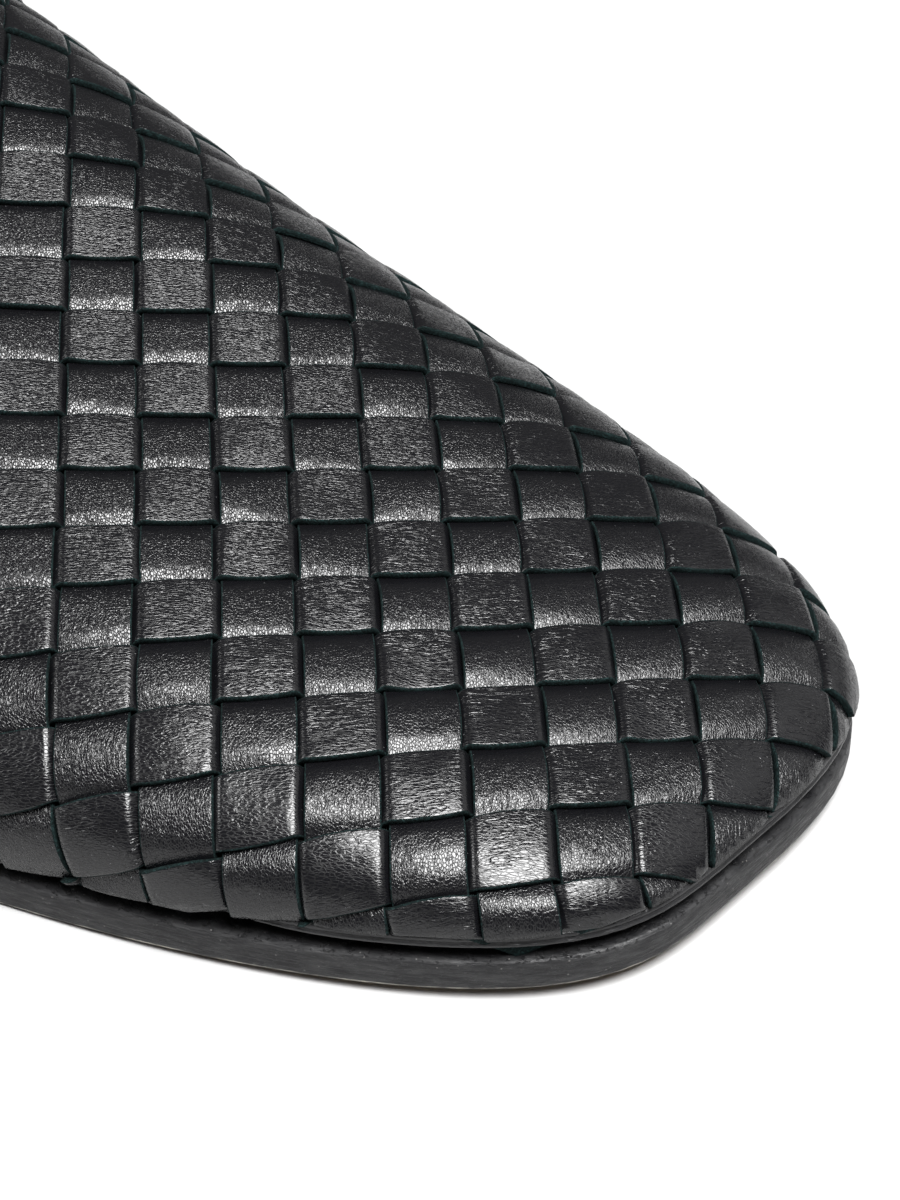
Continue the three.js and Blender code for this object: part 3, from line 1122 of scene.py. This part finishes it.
@dataclass
class WovenUpper:
    """The upper: two families of strips, their lining and the folded edge of the throat."""

    last: Last
    net: WeaveNet
    shift: Array
    row_form: StripForm = StripForm(share=0.965, snap=7.0, dive=-0.06, belly=0.07)
    column_form: StripForm = StripForm(share=0.915, snap=1.6, dive=0.16, belly=0.0)
    belly_level: float = 0.4
    thickness: float = 0.64
    lift: float = 0.48
    shortest: float = 0.15
    toe_rise: float = 0.7
    toe_rise_full: float = 18.0
    toe_rise_none: float = 36.0
    edge_round: float = 0.13
    crown: float = 0.07
    steps: int = 14
    bunch: float = 0.35
    lining_steps: int = 4
    bottom_drop: float = 0.22
    tuck: float = 0.35
    tuck_reach: float = 5.0
    lining_offset: float = -1.28
    lining_thickness: float = 0.7
    band_width: float = 7.0
    band_thickness: float = 0.62
    band_seat: float = 0.03
    band_rings: int = 160
    row_seed: int = 7
    column_seed: int = 107
    width_spread: float = 0.012
    sway_spread: float = 0.012
    tilt_spread: float = 0.09
    lift_spread: float = 0.05
    crown_spread: float = 0.05
    place_stride: float = 7.31
    creases: tuple[Crease, ...] = (
        *fan(StripFamily.COLUMN, 5, 16, [
            (-0.29, -0.05, 0.25, -0.40), (-0.26, 0.12, 0.37, -0.27), (-0.20, 0.31, 0.43, -0.10),
            (-0.05, 0.38, 0.45, 0.10),
        ]),
        *fan(StripFamily.COLUMN, 6, 15, [(-0.04, 0.42, 0.26, -0.10), (-0.14, 0.30, 0.20, -0.22)]),
        Crease(StripFamily.COLUMN, 10, 13, (-0.10, 0.30), (0.40, 0.45), height=0.12, width=0.6),
        Crease(StripFamily.ROW, 14, 10, (-0.35, -0.20), (0.40, -0.30), height=-0.15, width=0.8),
        Crease(StripFamily.COLUMN, 10, 15, (-0.30, 0.45), (0.30, 0.10), height=-0.15, width=0.8),
    )

    def build(self) -> None:
        """Makes every piece of the upper."""
        edge = CutEdge().make()
        rows = WovenLeather("row_leather", grain_depth=0.014, pillow_depth=0.008).make()
        columns = WovenLeather(
            "column_leather", grain_size=0.19, stretch=1.5, lean=0.1, wrinkle_across=4.6, swell_depth=0.08
        ).make()
        plain = PlainLeather("edge_leather").make()
        lining = PlainLeather("lining_leather", rough=0.55, grain_size=0.8).make()
        for piece in (
            self.strips(StripFamily.ROW, "row_strips", [rows, edge]),
            self.strips(StripFamily.COLUMN, "column_strips", [columns, edge]),
            self.lining([lining]),
            self.throat_binding([plain]),
        ):
            dress(piece, "woven_leather", "upper_woven")

    def _place(self, family: StripFamily, along: Array, across: Array) -> tuple[Array, Array]:
        """Where a place on a strip lies, whichever way the strip runs.

        Args:
            family: Which way it runs.
            along: Places along it.
            across: Places across all strips of its family.

        Returns:
            Points on the last and outward normals.
        """
        if family is StripFamily.ROW:
            return self.net.place(along, across)
        return self.net.place(across, along)

    def _tucked(self, points: Array, normals: Array) -> Array:
        """Draws the lowest part of the wall in over the sole's edge.

        Args:
            points: Points on the last.
            normals: Outward directions there.

        Returns:
            The moved points.
        """
        over = points[..., 2] - self.last.upper_bottom - self.last.sole_rise(-points[..., 0])
        inward = self.tuck * (1 - smooth(over / self.tuck_reach))
        flat = normals * np.array([1.0, 1.0, 0.0])
        return points - unit(flat) * inward[..., None]

    def _lane_ends(self, family: StripFamily, lane: float, offsets: Array, alongs: Array) -> Array | None:
        """Where the edges of the upper cut a strip.

        Args:
            family: Which way the strip runs.
            lane: Middle line of the strip.
            offsets: Places across the strip.
            alongs: Places along the strip, fine enough to find the edges.

        Returns:
            Start and end along the strip for each place across it, or None if it misses the upper.
        """
        grid_along, grid_across = np.meshgrid(alongs, lane + offsets, indexing="ij")
        points, _ = self._place(family, grid_along, grid_across)
        past_toe = (-points[..., 0] - self.toe_rise_full) / (self.toe_rise_none - self.toe_rise_full)
        drop = self.bottom_drop - self.toe_rise * (1 - smooth(past_toe))
        inside = self.last.inside_upper(points, drop)
        ends = np.full((len(offsets), 2), np.nan)
        for k in range(len(offsets)):
            good = inside[:, k] > 0
            marks = np.flatnonzero(np.diff(np.concatenate([[0], good.astype(int), [0]])))
            if not len(marks):
                continue
            runs = marks.reshape(-1, 2)
            low, high = runs[np.argmax(runs[:, 1] - runs[:, 0])]
            ends[k, 0] = self._crossing_at(alongs, inside[:, k], low - 1, low)
            ends[k, 1] = self._crossing_at(alongs, inside[:, k], high - 1, high)
        found = ~np.isnan(ends[:, 0])
        if not found.any():
            return None
        ends[~found] = np.mean(ends[found])
        return ends

    @staticmethod
    def _crossing_at(alongs: Array, values: Array, before: int, after: int) -> float:
        """Finds where the values pass zero between two samples.

        Args:
            alongs: Places of the samples.
            values: Their values.
            before: Number of the first sample.
            after: Number of the second one.

        Returns:
            The place, or the nearer end where a sample is missing.
        """
        if before < 0:
            return float(alongs[0])
        if after >= len(alongs):
            return float(alongs[-1])
        share = values[before] / (values[before] - values[after])
        return float(mix(alongs[before], alongs[after], share))

    def _stretch(
        self, family: StripFamily, lane: float, across: Array, alongs: Array
    ) -> tuple[Array, Array, Array] | None:
        """The stretch of a strip that the upper covers.

        Args:
            family: Which way the strip runs.
            lane: Middle line of the strip.
            across: Places across the strip.
            alongs: Places along the strip, fine enough to find the edges.

        Returns:
            Places along the strip by step and line, and each line's first and last step, or None if
            the strip hardly touches the upper.
        """
        ends = self._lane_ends(family, lane, across, alongs)
        if ends is None or np.max(ends[:, 1] - ends[:, 0]) < self.shortest:
            return None
        last_step = len(alongs) - 1
        low = np.clip(np.searchsorted(alongs, ends[:, 0], side="right") - 1, 0, last_step)
        high = np.clip(np.searchsorted(alongs, ends[:, 1], side="left"), 0, last_step)
        start = int(low.min())
        steps = alongs[start:int(high.max()) + 1]
        held = np.clip(np.repeat(steps[:, None], len(across), 1), ends[:, 0], ends[:, 1])
        return held, low - start, high - start

    def _ring(self) -> tuple[Array, Array, Array]:
        """The section of a strip, whose two sides are alike.

        Returns:
            Places across it (-1 to 1), heights over its middle, and the finish of each band.
        """
        half, round_, crown = self.thickness / 2, self.edge_round, self.crown
        side = [
            (0.985, -half), (1.0, -half + 0.08), (1.0, half - round_), (0.985, half - 0.35 * round_),
            (0.955, half), (0.90, half + 0.01), (0.6, half + 0.64 * crown), (0.3, half + 0.91 * crown),
        ]
        first_on_top = 4
        left = [(-place, height) for place, height in side]
        ring = np.array([*left, (0.0, half + crown), *side[::-1], (0.0, -half)])
        bands = np.ones(len(ring), int)
        bands[first_on_top:2 * len(side) - first_on_top] = 0
        return ring[:, 0], ring[:, 1], bands

    def strips(self, family: StripFamily, name: str, finishes: Sequence[Material]) -> Piece:
        """Makes one family of strips as closed ribbons that go over and under.

        Args:
            family: Which way they run.
            name: Name of the piece.
            finishes: Leather and cut edge.

        Returns:
            The piece.
        """
        is_row = family is StripFamily.ROW
        chance = np.random.default_rng(self.row_seed if is_row else self.column_seed)
        form = self.row_form if is_row else self.column_form
        pitches = (self.net.column_pitch, self.net.row_pitch)
        firsts = (self.net.first_column, self.net.first_row)
        along_pitch, across_pitch = pitches if is_row else pitches[::-1]
        first_along, first_lane = firsts if is_row else firsts[::-1]
        spreads = (self.width_spread, self.sway_spread, self.tilt_spread, self.lift_spread, self.crown_spread)
        total = self.net.strips_to_toe + self.net.strips_to_heel
        even = np.arange(total * self.steps + 1) / self.steps
        alongs = first_along + even - self.bunch * np.sin(2 * math.pi * even) / (2 * math.pi)
        across, heights, bands = self._ring()
        blank = Blank()
        for lane in range(first_lane + 1, first_lane + total + 1):
            draws = [spread * chance.standard_normal(total + 2) for spread in spreads]
            stretch = self._stretch(family, lane - 0.5, across * form.share / 2, alongs)
            if stretch is None:
                continue
            held, low, high = stretch
            width, sway, tilt, lift, crown = (self._eased(draw, held - first_along + 0.5) for draw in draws)
            swing = np.cos(math.pi * (held + 0.5 + lane)) * (1 if is_row else -1)
            wave = np.tanh(form.snap * (swing - form.dive)) / math.tanh(form.snap)
            on_top = smooth(swing)
            belly = 1 + form.belly * (on_top - self.belly_level)
            side = across * form.share / 2 * (1 + width) * belly
            points, normals = self._place(family, held, lane - 0.5 + sway + side)
            folds = sum(crease.relief(
                (held - crease.along + 0.5) * along_pitch, side * across_pitch, along_pitch, across_pitch
            ) for crease in self.creases if crease.family is family and crease.lane == lane)
            rise = lift + tilt * across + crown * (1 - across ** 2) + folds * (heights > 0)
            height = self.lift * wave + heights + on_top * rise
            points = self._tucked(points, normals) + normals * height[..., None]
            number = np.full_like(held, lane * self.place_stride)
            places = np.stack([held * along_pitch, side * across_pitch, number], axis=-1)
            blank.add_ribbon(points, low, high, places, bands)
        return blank.piece(name, self.shift, finishes)

    @staticmethod
    def _eased(values: Array, cell: Array) -> Array:
        """Goes smoothly from each cell's value to the next one's."""
        base = np.clip(np.floor(cell).astype(int), 0, len(values) - 2)
        return mix(values[base], values[base + 1], smooth(cell - base))

    def lining(self, finishes: Sequence[Material]) -> Piece:
        """Makes the smooth skin inside the weave.

        Args:
            finishes: Its leather.

        Returns:
            The piece.
        """
        total = self.net.strips_to_toe + self.net.strips_to_heel
        alongs = self.net.first_column + np.arange(total * self.lining_steps + 1) / self.lining_steps
        across = np.array([-0.5, -0.25, 0.0, 0.25, 0.5])
        blank = Blank()
        for lane in range(self.net.first_row + 1, self.net.first_row + total + 1):
            stretch = self._stretch(StripFamily.ROW, lane - 0.5, across, alongs)
            if stretch is None:
                continue
            held, low, high = stretch
            points, normals = self.net.place(held, np.broadcast_to(lane - 0.5 + across, held.shape))
            blank.add_ribbon(self._tucked(points, normals) + normals * self.lining_offset, low, high)
        piece = blank.piece("upper_lining", self.shift, finishes)
        self._close_sheet(piece)
        return piece

    def _close_sheet(self, piece: Piece) -> None:
        """Joins the lanes of a sheet and gives it its thickness.

        Args:
            piece: The sheet, changed in place.
        """
        work = bmesh.new()
        work.from_mesh(piece.data)
        bmesh.ops.remove_doubles(work, verts=work.verts, dist=0.02 * MM)
        bmesh.ops.dissolve_degenerate(work, edges=work.edges, dist=0.005 * MM)
        bmesh.ops.recalc_face_normals(work, faces=work.faces)
        work.to_mesh(piece.data)
        work.free()
        solid = piece.modifiers.new("thickness", "SOLIDIFY")
        solid.thickness = self.lining_thickness * MM
        solid.offset = 0.0
        solid.use_rim = True

    def throat_curve(self, count: int) -> Array:
        """The throat's edge on the last, from the near side's bottom over the ridge to the far side's.

        Args:
            count: Number of points, evenly spread.

        Returns:
            Points on the last's surface.
        """
        samples, ahead_of_ridge, just_inside = 801, 20.0, 0.99999
        share = np.sin(np.linspace(-math.pi / 2, math.pi / 2, samples))
        low = np.full_like(share, self.last.throat_ridge_behind - ahead_of_ridge)
        high = np.full_like(share, self.last.throat_side_behind + 0.5)
        for _ in range(HALVINGS):
            middle = (low + high) / 2
            near_half = self.last.half_width(True, middle, 0.0)
            far_half = self.last.half_width(False, middle, 0.0)
            y = share * np.where(share < 0, near_half, far_half) * just_inside
            z = self.last.surface_height(middle, y)
            ahead = self.last.throat_behind(z) > middle
            low = np.where(ahead, middle, low)
            high = np.where(ahead, high, middle)
        curve = np.stack([-low, y, z], axis=-1)
        length = np.concatenate([[0.0], np.cumsum(np.linalg.norm(np.diff(curve, axis=0), axis=1))])
        wanted = np.linspace(0.0, length[-1], count)
        return np.stack([np.interp(wanted, length, curve[:, axis]) for axis in range(3)], axis=-1)

    def throat_binding(self, finishes: Sequence[Material]) -> Piece:
        """Makes the leather that is folded over the throat's edge, outside and inside.

        Args:
            finishes: Its leather.

        Returns:
            The piece.
        """
        curve = self.throat_curve(self.band_rings)
        run = unit(np.gradient(curve, axis=0))
        normals = self.last.normal(curve)
        forward = unit(np.cross(normals, run))
        forward *= np.where(forward[:, :1] < 0, -1.0, 1.0)
        lines = {0.0: (curve, normals)}
        point, heading, step = curve, forward, 0.5
        for number in range(1, int(self.band_width / step) + 1):
            moved = self.last.onto(point + heading * step, 1)
            heading = unit(moved - point)
            point = moved
            lines[number * step] = (point, self.last.normal(point))
        top = self.lift + self.thickness / 2 + self.band_seat
        inner = self.lining_offset - self.lining_thickness / 2 - self.band_seat
        thick = self.band_thickness
        half = (top + inner) / 2
        # How far in from the throat's edge, and how high over the last.
        profile = [
            (7.0, top - 0.25), (7.0, top + thick * 0.55), (6.5, top + thick), (4.0, top + thick + 0.03),
            (2.0, top + thick + 0.03), (0.5, top + thick), (-0.3, top + thick * 0.55), (-0.75, half + 0.7),
            (-0.85, half), (-0.75, half - 0.7), (-0.3, inner - thick * 0.55), (0.5, inner - thick),
            (3.0, inner - thick), (5.5, inner - thick), (6.0, inner - thick * 0.5), (6.0, inner + 0.2),
            (3.0, inner + 0.1), (0.5, half), (3.0, top - 0.1),
        ]
        rings = []
        for reach_in, height in profile:
            base, up = lines[max(reach_in, 0.0)]
            rings.append(self._tucked(base, up) + forward * min(reach_in, 0.0) + up * height)
        grid = np.stack(rings, axis=1)
        count, size = grid.shape[:2]
        blank = Blank()
        first = blank.add_loop_grid(grid)
        blank.add_face([first + k for k in range(size)][::-1])
        blank.add_face([first + (count - 1) * size + k for k in range(size)])
        return blank.piece("throat_binding", self.shift, finishes)


@dataclass
class SolePart:
    """Sizes and ways of the flat pieces under the foot."""

    last: Last
    shift: Array
    count: int = 130
    blunt_tip: float = 0.02

    def stations(self, inset: Callable[[Array], Array], start: float, end: float) -> Array:
        """Distances behind the toe, spread evenly along the outline.

        Args:
            inset: How far inside the outline, by distance behind the toe.
            start: First distance.
            end: Last distance.

        Returns:
            The distances.
        """
        samples, bunching = 3001, 4
        t = np.linspace(0.0, 1.0, samples)
        eased = np.where(t < 0.5, 0.5 * (2 * t) ** bunching, 1 - 0.5 * (2 - 2 * t) ** bunching)
        dense = start + (end - start) * eased
        edge = inset(dense)
        steps = np.diff(dense)
        total = np.zeros_like(steps)
        for near in (True, False):
            total += np.hypot(steps, np.diff(self.last.half_width(near, dense, edge)))
        length = np.concatenate([[0.0], np.cumsum(total)])
        return np.interp(np.linspace(0.0, length[-1], self.count), length, dense)

    def loop(self, inset: Callable[[Array], Array], start: float, height: Callable[[Array], Array]) -> Array:
        """One closed loop of points along the outline.

        Args:
            inset: How far inside the outline, by distance behind the toe.
            start: Where it starts behind the toe.
            height: Height over the floor, by distance behind the toe.

        Returns:
            The points, near side first from the heel to the toe.
        """
        end = self.last.length - float(inset(np.array([self.last.length]))[0]) - self.blunt_tip
        behind = self.stations(inset, start, end)
        edge = inset(behind)
        near = np.stack([-behind, -self.last.half_width(True, behind, edge), height(behind)], axis=-1)
        far = np.stack([-behind, self.last.half_width(False, behind, edge), height(behind)], axis=-1)
        return np.concatenate([near[::-1], far])

    def slab(
        self,
        name: str,
        profile: Sequence[tuple[float, float]],
        finishes: Sequence[Material],
        inset: Callable[[Array], Array] | None = None,
        extra: Callable[[Array, float, float], Array] | None = None,
        breast: float | None = None,
        follows_sole: bool = True,
        bands: Mapping[int, int] | None = None,
        caps: tuple[int, int] = (0, 0),
    ) -> Piece:
        """Makes a layer from a profile that goes round its edge from the middle below to the middle above.

        Args:
            name: Name of the piece.
            profile: Inset and height of each step of the profile.
            finishes: Materials by number.
            inset: Inset of the whole layer by distance behind the toe.
            extra: Height added by distance behind the toe, inset and height.
            breast: Where the layer starts behind the toe, for a heel.
            follows_sole: True if the heights are over the sole's underside, False if over the floor.
            bands: Finish from one step to the next, where it isn't 0.
            caps: Finishes of the underside and of the top.

        Returns:
            The piece.
        """
        base = inset or (lambda behind: np.zeros_like(behind))
        rings = []
        for step_in, height in profile:
            def edge(behind: Array, step_in: float = step_in) -> Array:
                """Inset of this step."""
                return base(behind) + step_in

            def level(behind: Array, step_in: float = step_in, height: float = height) -> Array:
                """Height of this step over the floor."""
                rise = self.last.sole_rise(behind) if follows_sole else np.zeros_like(behind)
                return rise + height + (extra(behind, step_in, height) if extra else 0.0)

            start = float(edge(np.zeros(1))[0]) + self.blunt_tip if breast is None else breast + step_in
            rings.append(self.loop(edge, start, level))
        grid = np.stack(rings)
        blank = Blank()
        first = blank.add_loop_grid(grid, bands)
        size = grid.shape[1]
        top = first + (len(rings) - 1) * size
        for k in range(self.count - 1):
            mirror = size - 1 - k
            blank.add_face((first + k, first + k + 1, first + mirror - 1, first + mirror), caps[0])
            blank.add_face((top + mirror, top + mirror - 1, top + k + 1, top + k), caps[1])
        return blank.piece(name, self.shift, finishes)


@dataclass
class SoleUnit:
    """Outsole, rand, footbed and heel."""

    part: SolePart
    outsole_thickness: float = 3.0
    outsole_inset: float = -0.25
    rand_bottom: float = 3.95
    rand_top: float = 4.62
    rand_toe_rise: float = 0.75
    rand_full: float = 18.0
    rand_hidden: float = 38.0
    rand_inset_toe: float = -0.2
    rand_inset_hidden: float = 2.6
    sock_thickness: float = 1.8
    sock_inset_closed: float = 5.2
    sock_inset_open: float = 1.3
    sock_opening: float = 34.0
    heel_breast: float = 194.0
    heel_inset: float = 1.2
    heel_lifts: int = 3
    lift_thickness: float = 3.2
    seat: float = 0.02

    def build(self) -> None:
        """Makes every piece of the sole unit."""
        edge = SoleEdge().make()
        under = NaturalLeather().make()
        frayed = SoleEdge("sole_corner", colour=(0.05, 0.048, 0.045), worn=(0.42, 0.40, 0.35)).make()
        rand = PlainLeather("rand_leather", rough=0.42, grain_size=0.35).make()
        sock = PlainLeather("sock_leather", rough=0.5, grain_size=0.6).make()
        dress(self.outsole([edge, under, frayed]), "sole_leather", "outsole")
        dress(self.rand([rand]), "rand_leather", "midsole_rand")
        dress(self.footbed([sock]), "sock_leather", "insole_sock")
        dress(self.heel_stack([SoleEdge("heel_edge").make()]), "heel_leather", "heel_stack")
        dress(self.top_lift([LiftRubber().make()]), "lift_rubber", "heel_top_lift")

    def outsole(self, finishes: Sequence[Material]) -> Piece:
        """Makes the sole sheet.

        Args:
            finishes: Burnished edge, natural underside and frayed corner.

        Returns:
            The piece.
        """
        t = self.outsole_thickness
        rim = self.outsole_inset
        under, frayed = 1, 2
        # How far in from the outline, and how high over the underside.
        profile = [
            (20.0, 0.0), (8.0, 0.0), (2.0, 0.0), (rim + 0.50, 0.0), (rim + 0.26, 0.01), (rim + 0.07, 0.05),
            (rim + 0.03, 0.20), (rim + 0.01, 0.45), (rim, 0.9), (rim, 1.5), (rim, 2.1), (rim + 0.03, 2.45),
            (rim + 0.12, 2.66), (rim + 0.35, 2.78), (rim + 0.9, 2.85), (2.5, t), (8.0, t), (20.0, t),
        ]
        bands = {0: under, 1: under, 2: under, 5: frayed}
        return self.part.slab("sole_sheet", profile, finishes, bands=bands, caps=(under, 0))

    def rand(self, finishes: Sequence[Material]) -> Piece:
        """Makes the smooth band between the upper and the outsole, tall and full at the toe.

        Args:
            finishes: Its leather.

        Returns:
            The piece.
        """
        low, high = self.rand_bottom, self.rand_top
        shown_depth = 1.3

        def near_toe(behind: Array) -> Array:
            """1 at the toe down to 0 where the band is hidden."""
            return 1 - smooth((behind - self.rand_full) / (self.rand_hidden - self.rand_full))

        def inset(behind: Array) -> Array:
            """Inset of the whole band."""
            return mix(self.rand_inset_hidden, self.rand_inset_toe, near_toe(behind))

        def extra(behind: Array, step_in: float, height: float) -> Array:
            """Height added at the toe, on the part that shows."""
            rise = self.rand_toe_rise * (height - low) / (high - low)
            return near_toe(behind) * (rise if step_in < shown_depth else 0.0)

        # How far in from the band's edge, and how high in parts of the band.
        shares = [
            (20.0, 0.0), (6.0, 0.0), (1.9, 0.0), (0.9, 0.04), (0.32, 0.14), (0.06, 0.30), (0.10, 0.44),
            (0.34, 0.52), (0.20, 0.60), (0.16, 0.75), (0.30, 0.90), (0.6, 0.97), (1.2, 1.0), (6.0, 1.0),
            (20.0, 1.0),
        ]
        profile = [(step_in, mix(low, high, share)) for step_in, share in shares]
        return self.part.slab("rand_band", profile, finishes, inset=inset, extra=extra)

    def footbed(self, finishes: Sequence[Material]) -> Piece:
        """Makes the leather covered footbed.

        Args:
            finishes: Its leather.

        Returns:
            The piece.
        """
        low = self.part.last.upper_bottom + self.seat
        top = low + self.sock_thickness

        def inset(behind: Array) -> Array:
            """Inset of the footbed, less where the shoe is open."""
            past = smooth((behind - self.part.last.throat_side_behind) / self.sock_opening)
            return mix(self.sock_inset_closed, self.sock_inset_open, past)

        profile = [
            (16.0, low), (5.0, low), (0.9, low), (0.3, low + 0.12), (0.05, low + 0.45), (0.0, low + 0.9),
            (0.08, low + 1.35), (0.35, top - 0.1), (0.9, top + 0.02), (1.8, top + 0.04), (5.0, top - 0.06),
            (10.0, top - 0.12), (16.0, top - 0.14),
        ]
        return self.part.slab("footbed", profile, finishes, inset=inset)

    def heel_stack(self, finishes: Sequence[Material]) -> Piece:
        """Makes the stacked leather of the heel, with the joints between its lifts.

        Args:
            finishes: Its leather.

        Returns:
            The piece.
        """
        low, high = self.lift_thickness + self.seat, self.part.last.heel_lift - self.seat
        rim = self.heel_inset
        profile = [(18.0, low), (4.0, low), (rim + 0.4, low), (rim + 0.08, low + 0.1)]
        for number in range(self.heel_lifts):
            foot = mix(low, high, number / self.heel_lifts)
            head = mix(low, high, (number + 1) / self.heel_lifts)
            profile += [(rim, foot + 0.3), (rim - 0.03, (foot + head) / 2), (rim, head - 0.3)]
            if number < self.heel_lifts - 1:
                profile += [(rim + 0.06, head - 0.1), (rim + 0.2, head), (rim + 0.06, head + 0.1)]
        profile += [(rim + 0.08, high - 0.1), (rim + 0.4, high), (4.0, high), (18.0, high)]
        breast = self.heel_breast - rim
        return self.part.slab("heel_block", profile, finishes, breast=breast, follows_sole=False)

    def top_lift(self, finishes: Sequence[Material]) -> Piece:
        """Makes the rubber wear plate.

        Args:
            finishes: Its rubber.

        Returns:
            The piece.
        """
        t = self.lift_thickness - self.seat
        rim = self.heel_inset
        profile = [
            (18.0, 0.0), (4.0, 0.0), (rim + 0.5, 0.0), (rim + 0.15, 0.12), (rim, 0.5), (rim, t / 2),
            (rim, t - 0.4), (rim + 0.06, t - 0.1), (rim + 0.3, t), (4.0, t), (18.0, t),
        ]
        breast = self.heel_breast - rim
        return self.part.slab("wear_plate", profile, finishes, breast=breast, follows_sole=False)


@dataclass(frozen=True)
class SoftBox:
    """A rectangular studio light, aimed at a point of the shoe, in degrees, metres and watts."""

    name: str
    azimuth: float
    elevation: float
    distance: float
    size: tuple[float, float]
    power: float

    def hang(self, target: Vector) -> None:
        """Places the light.

        Args:
            target: The point that it is aimed at.
        """
        light = bpy.data.lights.new(self.name, "AREA")
        light.shape = "RECTANGLE"
        light.size, light.size_y = self.size
        light.energy = self.power
        lamp = bpy.data.objects.new(self.name, light)
        away = direction(self.azimuth, self.elevation)
        lamp.location = target + away * self.distance
        lamp.rotation_mode = "QUATERNION"
        lamp.rotation_quaternion = away.to_track_quat("Z", "Y")
        bpy.context.scene.collection.objects.link(lamp)


@dataclass
class Studio:
    """Floor, light and camera, whose angles, distance and target were fitted to the photo."""

    shift: Array
    azimuth: float = 41.09
    elevation: float = 35.163
    roll: float = -0.268
    distance: float = 192.1
    target: tuple[float, float, float] = (-27.45, -2.05, 20.0)
    focal_pixels: float = 2343.6
    picture_height: float = 1200.0
    sensor: float = 36.0
    floor_half: float = 3.0
    sky: float = 0.09
    boxes: tuple[SoftBox, ...] = (
        SoftBox("overhead", azimuth=76.0, elevation=67.5, distance=1.4, size=(0.80, 0.76), power=54.0),
        SoftBox("near_side", azimuth=-44.0, elevation=38.0, distance=1.4, size=(0.5, 0.5), power=6.0),
        SoftBox("far_wall", azimuth=150.0, elevation=32.0, distance=1.4, size=(1.2, 0.8), power=2.0),
    )

    def build(self) -> None:
        """Sets up the whole studio."""
        self.camera()
        self.floor()
        self.light()

    def aim(self) -> Vector:
        """The point that the camera looks at, in the frame's coordinates."""
        return Vector(((np.array(self.target) + self.shift) * MM).tolist())

    def camera(self) -> None:
        """Places the camera at the picture's angle."""
        a, r = math.radians(self.azimuth), math.radians(self.roll)
        back = direction(self.azimuth, self.elevation)
        level_right = Vector((math.cos(a), math.sin(a), 0.0))
        level_up = back.cross(level_right)
        right = level_right * math.cos(r) + level_up * math.sin(r)
        up = level_up * math.cos(r) - level_right * math.sin(r)
        lens = bpy.data.cameras.new("camera")
        lens.sensor_width = self.sensor
        lens.lens = self.focal_pixels * self.sensor / self.picture_height
        lens.clip_start, lens.clip_end = 0.01, 20.0
        camera = bpy.data.objects.new("camera", lens)
        turn = Matrix((right, up, back)).transposed()
        camera.matrix_world = Matrix.Translation(self.aim() + back * (self.distance * MM)) @ turn.to_4x4()
        bpy.context.scene.collection.objects.link(camera)
        bpy.context.scene.camera = camera

    def floor(self) -> None:
        """Lays a wide white floor."""
        mesh = bpy.data.meshes.new("floor")
        half = self.floor_half
        corners = [(-half, -half, 0), (half, -half, 0), (half, half, 0), (-half, half, 0)]
        mesh.from_pydata(corners, [], [(0, 1, 2, 3)])
        mesh.materials.append(StudioFloor().make())
        floor = bpy.data.objects.new("floor", mesh)
        bpy.context.scene.collection.objects.link(floor)

    def light(self) -> None:
        """Hangs the soft boxes in an even white room."""
        scene = bpy.context.scene
        scene.view_settings.view_transform = "Standard"
        world = bpy.data.worlds.new("room")
        world.use_nodes = True
        background = world.node_tree.nodes["Background"]
        background.inputs["Color"].default_value = (1.0, 1.0, 1.0, 1.0)
        background.inputs["Strength"].default_value = self.sky
        scene.world = world
        for box in self.boxes:
            box.hang(self.aim())


def frame_shift(last: Last) -> Array:
    """From the shoe's own coordinates to the frame's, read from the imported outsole.

    Args:
        last: The last.

    Returns:
        The shift in millimetres.
    """
    low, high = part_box("outsole")
    widest_from, widest_to, samples = 60.0, 130.0, 1401
    behind = np.linspace(widest_from, widest_to, samples)
    far = float(last.half_width(False, behind, CAD_SOLE_INSET).max())
    tip = CAD_SOLE_INSET + SolePart.blunt_tip
    return np.array([high.x / MM + tip, high.y / MM - far, low.z / MM])


def main() -> None:
    """Builds the shoe and its studio in order."""
    logging.basicConfig(level=logging.INFO, format="%(name)s %(message)s")
    last = Last()
    shift = frame_shift(last)
    log.info("shift %s", shift)
    Studio(shift).build()
    SoleUnit(SolePart(last, shift)).build()
    WovenUpper(last, WeaveNet(last), shift).build()


if __name__ == "__main__":
    main()
